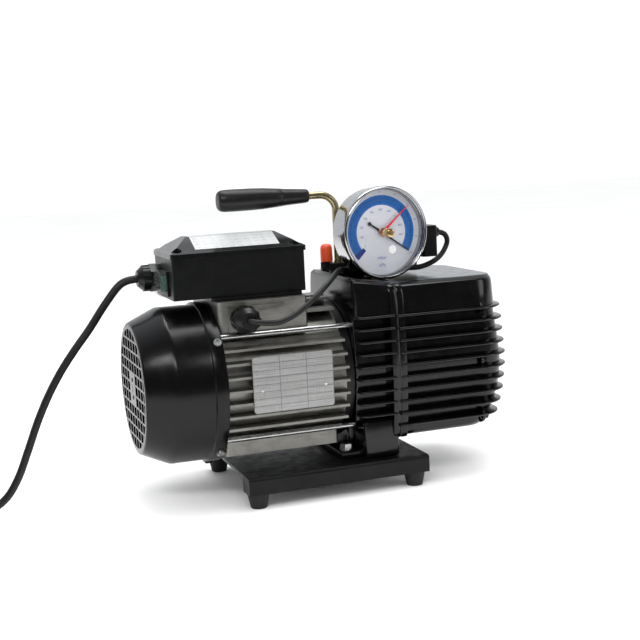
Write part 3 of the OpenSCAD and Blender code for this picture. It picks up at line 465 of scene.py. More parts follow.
class Finish:
    """A node material on Object coordinates with a few shorthands."""

    def __init__(self, name, colour, rough, metallic=0.0):
        self.material = bpy.data.materials.new(name)
        self.material.use_nodes = True
        self.tree = self.material.node_tree
        self.shader = self.tree.nodes["Principled BSDF"]
        self.shader.inputs["Base Color"].default_value = (*colour, 1.0)
        self.shader.inputs["Roughness"].default_value = rough
        self.shader.inputs["Metallic"].default_value = metallic
        self.material.diffuse_color = (*colour, 1.0)
        self.coords = self.tree.nodes.new("ShaderNodeTexCoord").outputs["Object"]

    def node(self, kind, **inputs):
        made = self.tree.nodes.new(kind)
        for key, value in inputs.items():
            made.inputs[key.replace("_", " ")].default_value = value
        return made

    def link(self, a, b):
        self.tree.links.new(a, b)

    def stretched(self, scale):
        made = self.node("ShaderNodeMapping")
        made.inputs["Scale"].default_value = scale
        self.link(self.coords, made.inputs["Vector"])
        return made.outputs["Vector"]

    def noise(self, scale, detail=3.0, rough=0.55, stretch=None):
        made = self.node("ShaderNodeTexNoise", Scale=scale, Detail=detail, Roughness=rough)
        self.link(self.stretched(stretch) if stretch else self.coords, made.inputs["Vector"])
        return made.outputs["Fac"]

    def ranged(self, value, low, high, from_low=0.3, from_high=0.7):
        made = self.node("ShaderNodeMapRange", From_Min=from_low, From_Max=from_high, To_Min=low, To_Max=high)
        self.link(value, made.inputs["Value"])
        return made.outputs["Result"]

    def mixed(self, value, a, b):
        made = self.tree.nodes.new("ShaderNodeMix")
        made.data_type = "RGBA"
        self.link(value, made.inputs["Factor"])
        for key, colour in (("A", a), ("B", b)):
            socket = [s for s in made.inputs if s.name == key and s.type == "RGBA"][0]
            if isinstance(colour, bpy.types.NodeSocket):
                self.link(colour, socket)
            else:
                socket.default_value = (*colour, 1.0)
        return [s for s in made.outputs if s.type == "RGBA"][0]

    def set(self, key, value):
        self.link(value, self.shader.inputs[key])

    def bumps(self, *layers):
        """Each layer is (height, strength, distance in metres)."""
        last = None
        for height, strength, distance in layers:
            made = self.node("ShaderNodeBump", Strength=strength, Distance=distance)
            self.link(height, made.inputs["Height"])
            if last is not None:
                self.link(last, made.inputs["Normal"])
            last = made.outputs["Normal"]
        self.link(last, self.shader.inputs["Normal"])


FINISHES = {}


def shade(colour, k):
    return tuple(min(1.0, c * k) for c in colour)


def painted(name, colour, rough, peel=0.12, sheen=0.5, dust=0.0):
    """Sprayed paint on a casting: orange peel, faint cast lumps, thin dust."""
    f = Finish(name, colour, rough)
    broad = f.noise(38.0, 4.0)
    base = f.mixed(f.ranged(broad, 0.0, 1.0), shade(colour, 0.75), shade(colour, 1.3))
    if dust:
        specks = f.noise(900.0, 2.0)
        base = f.mixed(f.ranged(specks, 0.0, dust, 0.62, 0.8), base, (0.22, 0.21, 0.2))
    f.set("Base Color", base)
    f.set("Roughness", f.ranged(f.noise(120.0, 4.0), rough * 0.75, rough * 1.3))
    f.shader.inputs["Specular IOR Level"].default_value = sheen
    f.bumps((f.noise(60.0, 3.0), 0.05, 0.0005), (f.noise(1100.0, 2.0), peel, 0.0001))
    return f.material


def moulded(name, colour, rough, grain=0.15, scale=2400.0, sheen=0.5):
    """Moulded plastic with a fine spark-eroded texture."""
    f = Finish(name, colour, rough)
    f.set("Base Color", f.mixed(f.ranged(f.noise(24.0, 3.0), 0.0, 1.0), shade(colour, 0.88), shade(colour, 1.14)))
    f.set("Roughness", f.ranged(f.noise(160.0, 5.0), rough * 0.85, rough * 1.18))
    f.bumps((f.noise(scale, 2.0), grain, 0.0001))
    f.shader.inputs["Specular IOR Level"].default_value = sheen
    return f.material


def metal(name, colour, rough, stretch=None, streak=0.35, scale=600.0, dirt=0.0):
    """Bare or plated metal; stretch gives the direction of its brushing or drawing."""
    f = Finish(name, colour, rough, 1.0)
    lines = f.noise(scale, 3.0, 0.6, stretch)
    base = f.mixed(f.ranged(lines, 0.0, 1.0), shade(colour, 0.86), shade(colour, 1.1))
    if dirt:
        base = f.mixed(f.ranged(f.noise(55.0, 5.0, 0.65), 0.0, dirt, 0.45, 0.75), base, shade(colour, 0.35))
    f.set("Base Color", base)
    f.set("Roughness", f.ranged(lines, rough * 0.75, rough * 1.3))
    f.bumps((lines, streak, 0.00006))
    return f.material


def rubbery(name, colour, rough, scale=1500.0):
    f = Finish(name, colour, rough)
    f.set("Base Color", f.mixed(f.ranged(f.noise(70.0, 4.0), 0.0, 1.0), shade(colour, 0.8), shade(colour, 1.35)))
    f.set("Roughness", f.ranged(f.noise(300.0, 3.0), rough * 0.88, min(1.0, rough * 1.12)))
    f.bumps((f.noise(scale, 3.0), 0.2, 0.00012))
    f.shader.inputs["Specular IOR Level"].default_value = 0.3
    return f.material


def clear(name, colour, rough, alpha):
    """Thin clear plastic or glass, seen through and glossy, with faint smears."""
    f = Finish(name, colour, rough)
    f.shader.inputs["Alpha"].default_value = alpha
    f.shader.inputs["IOR"].default_value = 1.5
    f.set("Roughness", f.ranged(f.noise(90.0, 4.0), rough * 0.6, rough * 1.5))
    f.bumps((f.noise(40.0, 2.0), 0.05, 0.0002))
    f.material.blend_method = "BLEND"
    return f.material


def printed(name, colour):
    """Screen-printed ink with slightly uneven cover."""
    f = Finish(name, colour, 0.42)
    f.set("Base Color", f.mixed(f.ranged(f.noise(500.0, 3.0), 0.0, 1.0), shade(colour, 0.85), shade(colour, 1.15)))
    f.set("Roughness", f.ranged(f.noise(900.0, 2.0), 0.36, 0.5))
    return f.material


def cells(f, centre, size, width, height, line):
    """Ruled table cells on the plane of two axes; gives 1 on a line and 0 inside a cell."""
    axes = [k for k in range(3) if size[k] is not None]
    parts = f.node("ShaderNodeSeparateXYZ")
    f.link(f.coords, parts.inputs[0])
    flat = f.node("ShaderNodeCombineXYZ")
    for slot, axis in enumerate(axes):
        moved = f.node("ShaderNodeMath")
        moved.operation = "SUBTRACT"
        moved.inputs[1].default_value = centre[axis] - size[axis] / 2
        f.link(parts.outputs[axis], moved.inputs[0])
        f.link(moved.outputs[0], flat.inputs[slot])
    brick = f.node("ShaderNodeTexBrick", Scale=1.0)
    brick.offset = 0.0
    brick.inputs["Mortar Size"].default_value = line
    brick.inputs["Brick Width"].default_value = width
    brick.inputs["Row Height"].default_value = height
    f.link(flat.outputs[0], brick.inputs["Vector"])
    return brick.outputs["Fac"]


def ruled_plate(name):
    """Brushed metal plate with a thin printed table of empty fields."""
    f = Finish(name, (0.62, 0.62, 0.61), 0.34, 0.75)
    lines = f.noise(500.0, 3.0, 0.6, (0.05, 1.0, 1.0))
    base = f.mixed(f.ranged(lines, 0.0, 1.0), (0.26, 0.26, 0.255), (0.36, 0.36, 0.355))
    table = cells(f, at(124.85, 0, 105.9), (0.0719, None, 0.0484), 0.0239, 0.00605, 0.0003)
    base = f.mixed(f.ranged(table, 0.0, 0.75, 0.0, 1.0), base, (0.10, 0.10, 0.11))
    marks = cells(f, at(124.85, 0, 105.9), (0.0719, None, 0.0484), 0.0026, 0.002, 0.0007)
    faded = f.ranged(f.noise(330.0, 2.0), 0.0, 1.0, 0.42, 0.55)
    both = f.node("ShaderNodeMath")
    both.operation = "MULTIPLY"
    f.link(f.ranged(marks, 0.55, 0.0, 0.0, 1.0), both.inputs[0])
    f.link(faded, both.inputs[1])
    base = f.mixed(both.outputs[0], base, (0.12, 0.12, 0.13))
    f.set("Base Color", base)
    f.set("Roughness", f.ranged(lines, 0.26, 0.44))
    f.bumps((lines, 0.2, 0.00005))
    return f.material


def lid_paper(name):
    """Satin white film, a little mottled, with a faint frame."""
    f = Finish(name, (0.66, 0.67, 0.68), 0.3)
    base = f.mixed(f.ranged(f.noise(45.0, 4.0), 0.0, 1.0), (0.36, 0.37, 0.375), (0.46, 0.47, 0.475))
    frame_lines = cells(f, at(94, 0, 225), (0.075, 0.0588, None), 0.0075, 0.0049, 0.0016)
    base = f.mixed(f.ranged(frame_lines, 0.28, 0.0, 0.0, 1.0), base, (0.20, 0.21, 0.22))
    f.set("Base Color", base)
    f.set("Roughness", f.ranged(f.noise(300.0, 3.0), 0.24, 0.4))
    return f.material


def make_finishes(looks):
    F = FINISHES
    F["paint"] = painted("black casting paint", looks.casting, 0.16, 0.07, 0.36)
    F["shield"] = painted("end shield paint", shade(looks.casting, 1.4), 0.4, 0.2, 0.3)
    F["powder"] = painted("powder coat", shade(looks.casting, 1.3), 0.4, 0.4, 0.22)
    F["cover"] = moulded("glossy cover plastic", looks.cover, 0.22, 0.03, 700.0, 0.26)
    F["box"] = moulded("terminal box plastic", looks.box, 0.34, 0.14, 2400.0, 0.2)
    F["lid"] = moulded("lid plastic", shade(looks.box, 0.9), 0.2, 0.06, 2400.0, 0.45)
    F["fitting"] = moulded("gland plastic", shade(looks.box, 0.9), 0.3, 0.15, 2400.0, 0.35)
    F["housing"] = metal("extruded aluminium", looks.housing, 0.44, (0.06, 1.0, 1.0), 0.4, 900.0, 0.55)
    F["bright"] = metal("ground steel", (0.50, 0.505, 0.50), 0.24, (0.05, 1.0, 1.0), 0.2, 1500.0)
    F["zinc"] = metal("zinc plated steel", (0.52, 0.53, 0.54), 0.3, None, 0.3, 300.0, 0.2)
    F["yellow_zinc"] = metal("yellow zinc", (0.42, 0.36, 0.21), 0.28, (1.0, 1.0, 0.3), 0.2, 260.0, 0.35)
    F["chrome"] = metal("polished gauge steel", (0.42, 0.42, 0.425), 0.12, None, 0.06, 500.0)
    F["brass"] = metal("turned brass", (0.72, 0.52, 0.24), 0.24, (1.0, 1.0, 4.0), 0.2, 700.0, 0.15)
    F["bronze"] = metal("dull valve bronze", (0.42, 0.38, 0.27), 0.42, None, 0.3, 300.0, 0.4)
    F["copper"] = metal("varnished copper", (0.66, 0.30, 0.14), 0.35, (0.2, 1.0, 1.0), 0.5, 1800.0)
    F["laminate"] = metal("stator sheet", (0.36, 0.37, 0.39), 0.45, (1.0, 0.02, 0.02), 0.8, 1800.0, 0.3)
    F["iron"] = metal("machined iron", (0.36, 0.37, 0.38), 0.38, None, 0.3, 900.0, 0.3)
    F["rubber"] = rubbery("foot rubber", (0.006, 0.006, 0.006), 0.55)
    F["grip"] = rubbery("handle grip", looks.grip, 0.36, 700.0)
    F["sheath"] = rubbery("cord sheath", (0.006, 0.006, 0.0062), 0.4, 2200.0)
    F["green"] = moulded("green rocker", looks.switch, 0.22, 0.03)
    F["orange"] = moulded("orange cap", looks.cap, 0.4, 0.12)
    F["red"] = moulded("red pointer lacquer", (0.60, 0.025, 0.05), 0.3, 0.03)
    F["black_ink"] = moulded("black ink", (0.012, 0.012, 0.014), 0.45, 0.02)
    F["black_metal"] = painted("blackened fitting", (0.004, 0.004, 0.004), 0.3, 0.1, 0.35)
    F["fan"] = moulded("fan plastic", (0.05, 0.05, 0.055), 0.5, 0.2)
    F["carbon"] = moulded("vane composite", (0.18, 0.12, 0.08), 0.5, 0.4, 900.0)
    F["fibre"] = rubbery("gasket fibre", (0.03, 0.028, 0.026), 0.8, 900.0)
    F["boot"] = clear("clear boot", (0.16, 0.17, 0.17), 0.1, 0.14)
    F["glass"] = clear("gauge glass", (0.03, 0.035, 0.035), 0.03, 0.06)
    F["enamel"] = moulded("dial enamel", (0.50, 0.51, 0.56), 0.38, 0.02)
    F["white"] = moulded("white dot", (0.86, 0.86, 0.87), 0.3, 0.02)
    F["band"] = printed("dial band ink", looks.band)
    F["band_dark"] = printed("dark band ink", shade(looks.band, 0.22))
    F["navy"] = printed("navy band ink", (0.006, 0.02, 0.16))
    F["print_pale"] = printed("pale dial print", (0.20, 0.21, 0.42))
    F["print_grey"] = printed("grey dial print", (0.07, 0.08, 0.16))
    F["print_blue"] = printed("blue dial print", (0.06, 0.09, 0.33))
    F["copper_flat"] = metal("plated copper hub", (0.72, 0.42, 0.34), 0.3, None, 0.2, 500.0)
    F["plate"] = ruled_plate("anodised nameplate")
    F["label"] = lid_paper("lid label film")
    F["window"] = clear("sight window", (0.85, 0.78, 0.5), 0.05, 0.35)


# ---- sizes and colours that a user may change ---------------------------------------

def colour_property(name, description, value):
    return bpy.props.FloatVectorProperty(
        name=name, description=description, default=value, size=3, subtype="COLOR", min=0.0, max=1.0)


class PumpLooks(bpy.types.PropertyGroup):
    casting: colour_property("Casting", "Paint of the pump and its oil reservoir", (0.0018, 0.0018, 0.002))
    cover: colour_property("Fan cover", "Plastic of the fan cover", (0.002, 0.002, 0.0022))
    box: colour_property("Terminal box", "Plastic of the terminal box and its lid", (0.0032, 0.0034, 0.0034))
    housing: colour_property("Motor housing", "Bare metal of the finned housing", (0.27, 0.265, 0.245))
    grip: colour_property("Grip", "Rubber of the handle's grip", (0.005, 0.005, 0.0052))
    cap: colour_property("Intake cap", "Plastic of the intake cap", (0.62, 0.06, 0.012))
    switch: colour_property("Switch", "Plastic of the rocker switch", (0.004, 0.085, 0.048))
    band: colour_property("Dial band", "Band printed on the gauge's dial", (0.001, 0.105, 0.39))


class PumpSizes(bpy.types.PropertyGroup):
    cord: bpy.props.FloatProperty(
        name="Cord diameter", description="Outside diameter of the power cord",
        default=0.007, min=0.005, max=0.007, unit="LENGTH")
    cable: bpy.props.FloatProperty(
        name="Valve cable diameter", description="Outside diameter of the cable to the solenoid valve",
        default=0.005, min=0.004, max=0.005, unit="LENGTH")
    casting_edge: bpy.props.FloatProperty(
        name="Casting edge radius", description="Rounding of the castings' edges",
        default=0.0012, min=0.0004, max=0.002, unit="LENGTH")
    upright_bars: bpy.props.IntProperty(
        name="Upright bars", description="Upright bars in the fan cover's grille", default=9, min=5, max=9)
    level_bars: bpy.props.IntProperty(
        name="Level bars", description="Level bars in the fan cover's grille", default=10, min=6, max=10)
    turns: bpy.props.FloatProperty(
        name="Turns on a layer", description="Turns of cord on each layer of the coil", default=2.5, min=2.5, max=2.5)


# ---- cord ------------------------------------------------------------------------

CORD_ROUTE = [
    (14, 20, 195), (4, 20, 193.5), (-4, 20, 188.5), (-17, 20, 173), (-31, 20, 154),
    (-45, 20, 137), (-58, 20, 119.5), (-70, 20, 100), (-81, 20, 78), (-91, 20, 54),
    (-101, 20.5, 31), (-112, 21, 14.5), (-125, 21, 6), (-140, 21, 3.6), (-160, 21, 3.6),
    (-177, 21, 3.6),
]
TAIL_ROUTE = [(-193, 21, 11), (-205, 21, 11.5), (-218, 21, 14), (-231, 21, 17), (-244, 21, 18.5)]
COIL_CENTRE = (-185.0, -27.5)
COIL_OUTER = 48.5
COIL_INNER = 30.0
COIL_LOW = 3.6         # height of the lower layer's centre line
COIL_CLIMB = 7.3       # from one layer to the next


def coil_points(turns):
    """A layer of turns inwards on the floor, a climb, and a layer outwards on top."""
    points = []
    step = 15
    total = int(turns * 360 / step)
    for k in range(2 * total + 1):
        angle = math.radians(90 + k * step)
        if k <= total:
            radius = COIL_OUTER + (COIL_INNER - COIL_OUTER) * k / total
        else:
            radius = COIL_INNER + (COIL_OUTER - COIL_INNER) * (k - total) / total
        t = min(max(((k - total) * step + 120) / 210, 0.0), 1.0)
        height = COIL_LOW + COIL_CLIMB * t * t * (3 - 2 * t)
        x, y = COIL_CENTRE
        points.append(at(x + radius * math.cos(angle), y + radius * math.sin(angle), height))
    return points


class PUMP_OT_power_cord(bpy.types.Operator):
    """Power cord from the gland to the floor, its coil with a tie, and the plug"""
    bl_idname = "pump.power_cord"
    bl_label = "Power cord"

    def execute(self, context):
        sizes = context.scene.pump_sizes
        route = [at(*p) for p in CORD_ROUTE] + coil_points(sizes.turns) + [at(*p) for p in TAIL_ROUTE]
        path = spline_through(route, 0.004)
        cord = tube("power_cord_sheath", path, sizes.cord / 2, FINISHES["sheath"], 14)
        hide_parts("power_cord", "power_cord_coil")
        plug = self.plug()
        tie = self.tie()
        return {"FINISHED"}

    def plug(self):
        """Round earthed plug with a ribbed neck, a shouldered body and two pins."""
        start = at(-243, 21, 18.6)
        neck = [(0, 3.6), (0, 5.0)]
        for k in range(6):
            x = 1 + k * 3.2
            neck += [(x, 5.2 + 0.5 * k), (x + 0.3, 5.6 + 0.5 * k), (x + 1.7, 5.7 + 0.5 * k), (x + 2.0, 5.2 + 0.5 * k)]
        body = [(21, 9.2), (24, 12.0), (27, 15.2), (30, 17.4), (32, 18.2), (34, 18.5), (44.5, 18.5),
                (46.3, 18.1), (47.1, 17.2), (47.3, 16.0), (47.3, 0.0)]
        shell = lathe("plug_shell", neck + body, start, (-1, 0, 0), FINISHES["fitting"], 56)
        parts = [shell]
        for side in (-1, 1):
            pin = [(46.8, 2.4), (64.6, 2.4), (66.0, 1.7), (66.4, 0.8), (66.45, 0.0)]
            parts.append(lathe("pin", pin, start + Vector((0, 0, side * 0.0095)), (-1, 0, 0), FINISHES["bright"], 20))
        plug = joined("power_plug_finished", parts)
        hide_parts("power_plug")
        return plug

    def tie(self):
        """A flat tie round the coil's section."""
        angle = math.radians(205)
        out = Vector((math.cos(angle), math.sin(angle), 0))
        along = Vector((-math.sin(angle), math.cos(angle), 0))
        centre = at(COIL_CENTRE[0], COIL_CENTRE[1], 0)
        rim = []
        for cx, cz, start in ((48.9, 11.2, 0), (29.6, 11.2, 90), (29.6, 3.4, 180), (48.9, 3.4, 270)):
            rim += arc(cx, cz, 3.2, start, start + 90, 5)
        rings = []
        for wide, grow in ((-2.4, -0.3), (-2.0, 0.0), (2.0, 0.0), (2.4, -0.3)):
            ring = []
            for r, z in rim:
                mid = Vector((39.25, 7.3))
                p = Vector((r, z)) - mid
                p = mid + p * (1 + grow / p.length)
                ring.append(centre + (out * p.x + along * wide) / 1000 + Vector((0, 0, p.y / 1000)))
            rings.append(ring)
        tie = loft("coil_tie", rings, FINISHES["fitting"], smooth=50.0)
        return tie


# ---- stage -----------------------------------------------------------------------

class PUMP_OT_stage(bpy.types.Operator):
    """Camera, soft studio lights and a plain pale floor"""
    bl_idname = "pump.stage"
    bl_label = "Stage"

    def execute(self, context):
        scene = context.scene
        azimuth, elevation, roll = (math.radians(v) for v in (-19.0, 8.12, -2.82))
        back = Vector((math.sin(azimuth) * math.cos(elevation), -math.cos(azimuth) * math.cos(elevation),
                       math.sin(elevation)))
        right = Vector((math.cos(azimuth), math.sin(azimuth), 0))
        up = back.cross(right)
        across = math.cos(roll) * right + math.sin(roll) * up
        upward = -math.sin(roll) * right + math.cos(roll) * up
        lens = bpy.data.cameras.new("camera")
        lens.lens = 68.05
        lens.sensor_width = 36.0
        lens.clip_start = 0.05
        lens.clip_end = 20.0
        camera = bpy.data.objects.new("camera", lens)
        turn = Matrix((across, upward, back)).transposed().to_4x4()
        camera.matrix_world = Matrix.Translation(Vector((-0.34925, -1.03316, 0.30159))) @ turn
        scene.collection.objects.link(camera)
        scene.camera = camera

        f = Finish("studio floor", (0.86, 0.86, 0.86), 0.7)
        f.set("Base Color", f.mixed(f.ranged(f.noise(3.0, 2.0), 0.0, 1.0), (0.85, 0.85, 0.85), (0.88, 0.88, 0.88)))
        s = 6.0
        corners = [(-s, -0.72, 0), (s, -0.72, 0), (s, s, 0), (-s, s, 0)]
        floor = as_piece("studio_floor", mesh_of("studio_floor", corners, [(0, 1, 2, 3)]), f.material, None)

        world = bpy.data.worlds.new("studio")
        scene.world = world
        world.use_nodes = True
        nodes, links = world.node_tree.nodes, world.node_tree.links
        around = nodes["Background"]
        around.inputs["Color"].default_value = (0.94, 0.97, 1.0, 1.0)
        soft = nodes.new("ShaderNodeBackground")
        soft.inputs["Color"].default_value = (1.0, 1.0, 1.0, 1.0)
        soft.inputs["Strength"].default_value = 1.24
        rays = nodes.new("ShaderNodeLightPath")
        plain = nodes.new("ShaderNodeMath")
        plain.operation = "MAXIMUM"
        links.new(rays.outputs["Is Camera Ray"], plain.inputs[0])
        links.new(rays.outputs["Is Diffuse Ray"], plain.inputs[1])
        way = nodes.new("ShaderNodeTexCoord")
        parts = nodes.new("ShaderNodeSeparateXYZ")
        links.new(way.outputs["Generated"], parts.inputs[0])
        ahead = nodes.new("ShaderNodeMapRange")
        for key, value in (("From Min", -0.25), ("From Max", 0.45), ("To Min", 0.07), ("To Max", 1.0)):
            ahead.inputs[key].default_value = value
        links.new(parts.outputs[1], ahead.inputs["Value"])
        links.new(ahead.outputs["Result"], around.inputs["Strength"])
        either = nodes.new("ShaderNodeMixShader")
        links.new(plain.outputs[0], either.inputs[0])
        links.new(around.outputs[0], either.inputs[1])
        links.new(soft.outputs[0], either.inputs[2])
        links.new(either.outputs[0], nodes["World Output"].inputs[0])
        scene.view_settings.view_transform = "Standard"
        self.light(scene, "key", (-0.7, -1.2, 1.3), (1.5, 0.3), 15)
        self.light(scene, "top", (0.15, 0.15, 1.4), (1.3, 0.6), 13)
        self.light(scene, "fill", (1.3, -1.0, 0.6), (0.5, 0.9), 4)
        return {"FINISHED"}

    def light(self, scene, name, place, size, power):
        data = bpy.data.lights.new(name, "AREA")
        data.shape = "RECTANGLE"
        data.size, data.size_y = size
        data.energy = power
        lamp = bpy.data.objects.new(name, data)
        lamp.location = place
        aim = Vector((0.0, 0.0, 0.12)) - Vector(place)
        lamp.rotation_euler = aim.to_track_quat("-Z", "Y").to_euler()
        scene.collection.objects.link(lamp)


# ---- fan cover -------------------------------------------------------------------

class PUMP_OT_fan_cover(bpy.types.Operator):
    """Fan cover: turned shell, crossed grille bars, centre pad with its slot, and a lug"""
    bl_idname = "pump.fan_cover"
    bl_label = "Fan cover"

    def execute(self, context):
        sizes = context.scene.pump_sizes
        cover = FINISHES["cover"]
        shell = [(0.0, 52.4), (0.0, 56.2), (0.25, 57.0), (0.8, 57.7), (1.6, 58.25), (23.6, 68.25), (24.6, 68.65),
                 (25.8, 68.95), (27.2, 69.0), (55.8, 69.0), (56.6, 69.15), (57.0, 69.6), (57.2, 70.3),
                 (57.6, 70.75), (58.3, 70.9), (67.2, 70.9), (67.9, 70.7), (68.2, 70.2), (68.2, 69.4),
                 (57.2, 69.4), (57.2, 66.6), (25.0, 66.6), (2.4, 55.4), (2.4, 52.4)]
        parts = [lathe("cover_shell", shell, at(0, 0, AXIS_Z), (1, 0, 0), cover, 128, None, 28.0, True)]
        middle = Matrix.Translation(at(1.2, 0, AXIS_Z))
        for bars, pitch, depth, turn in ((sizes.upright_bars, 0.0116, 0.0023, 0.0),
                                         (sizes.level_bars, 0.0096, 0.0021, 90.0)):
            parts.append(tree("grille").run("cover_grille", {
                "Bars": bars, "Pitch": pitch, "Reach": 0.0531, "Width": 0.0019, "Depth": depth, "Material": cover},
                body=None, place=middle @ Matrix.Rotation(math.radians(turn), 4, "X")))
        parts.append(self.pad(cover))
        for z in (-7.8, 7.8):
            dimple = [(-0.15, 1.3), (-0.35, 1.55), (-0.35, 1.85), (-0.1, 2.1), (0.2, 2.1), (0.2, 1.3)]
            parts.append(lathe("cover_dimple", dimple, at(0, 0, AXIS_Z + z), (1, 0, 0), cover, 24, None, 40.0, True))
        parts.append(rounded_block("cover_lug", (58.3, -8.8, 28.4), (65.8, 8.8, 33.4), 0.7, cover, 2))
        made = joined("fan_cover_finished", parts, material=cover)
        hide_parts("fan_cover")
        return {"FINISHED"}

    def pad(self, material):
        """Solid centre of the grille, a little proud, with a sunk slot between two dimples."""
        outline = []
        for cx, cz, start in ((11.4, 14.2, 0), (-11.4, 14.2, 90), (-11.4, -14.2, 180), (11.4, -14.2, 270)):
            outline += arc(cx, cz, 1.1, start, start + 90, 4)
        slot = arc(0, 3.0, 1.7, 0, 180, 9) + arc(0, -3.0, 1.7, 180, 360, 9)
        bm = bmesh.new()

        def ring(points, x):
            return [bm.verts.new(at(x, y, AXIS_Z + z)) for y, z in points]

        def skin(a, b):
            for k in range(len(a)):
                m = (k + 1) % len(a)
                bm.faces.new((a[k], a[m], b[m], b[k]))

        inset = [(y * 0.975, z * 0.98) for y, z in outline]
        back, side, front = ring(outline, 2.5), ring(outline, 0.25), ring(inset, -0.0)
        skin(back, side)
        skin(side, front)
        mouth, floor = ring(slot, -0.0), ring(slot, 2.4)
        skin(floor, mouth)
        bm.faces.new(back)
        bm.faces.new(floor)
        edges = [bm.edges.get((loop[k], loop[(k + 1) % len(loop)])) for loop in (front, mouth)
                 for k in range(len(loop))]
        bmesh.ops.triangle_fill(bm, edges=edges, use_beauty=True)
        bmesh.ops.recalc_face_normals(bm, faces=bm.faces)
        mesh = bpy.data.meshes.new("cover_pad")
        bm.to_mesh(mesh)
        bm.free()
        return as_piece("cover_pad", mesh, material, None, 30.0)


# ---- castings --------------------------------------------------------------------

END = [(43.5, 311), (52, 318), (62, 325), (79, 331), (100, 334), (121, 332), (148, 328), (177, 326.5), (181.2, 323.5)]
FIN_END = [(55, 328.5), (80, 335), (104, 337.6), (153, 333.5)]
HALF = 66.0            # half width of the castings at their tops
BULGE = 3.0            # more at the shaft's height
FINS = 10              # on either casting
FIN_RECESS = 6.2       # of the reservoir's wall between its fins
RIB_RECESS = 7.0       # of the pump body's wall between its ribs


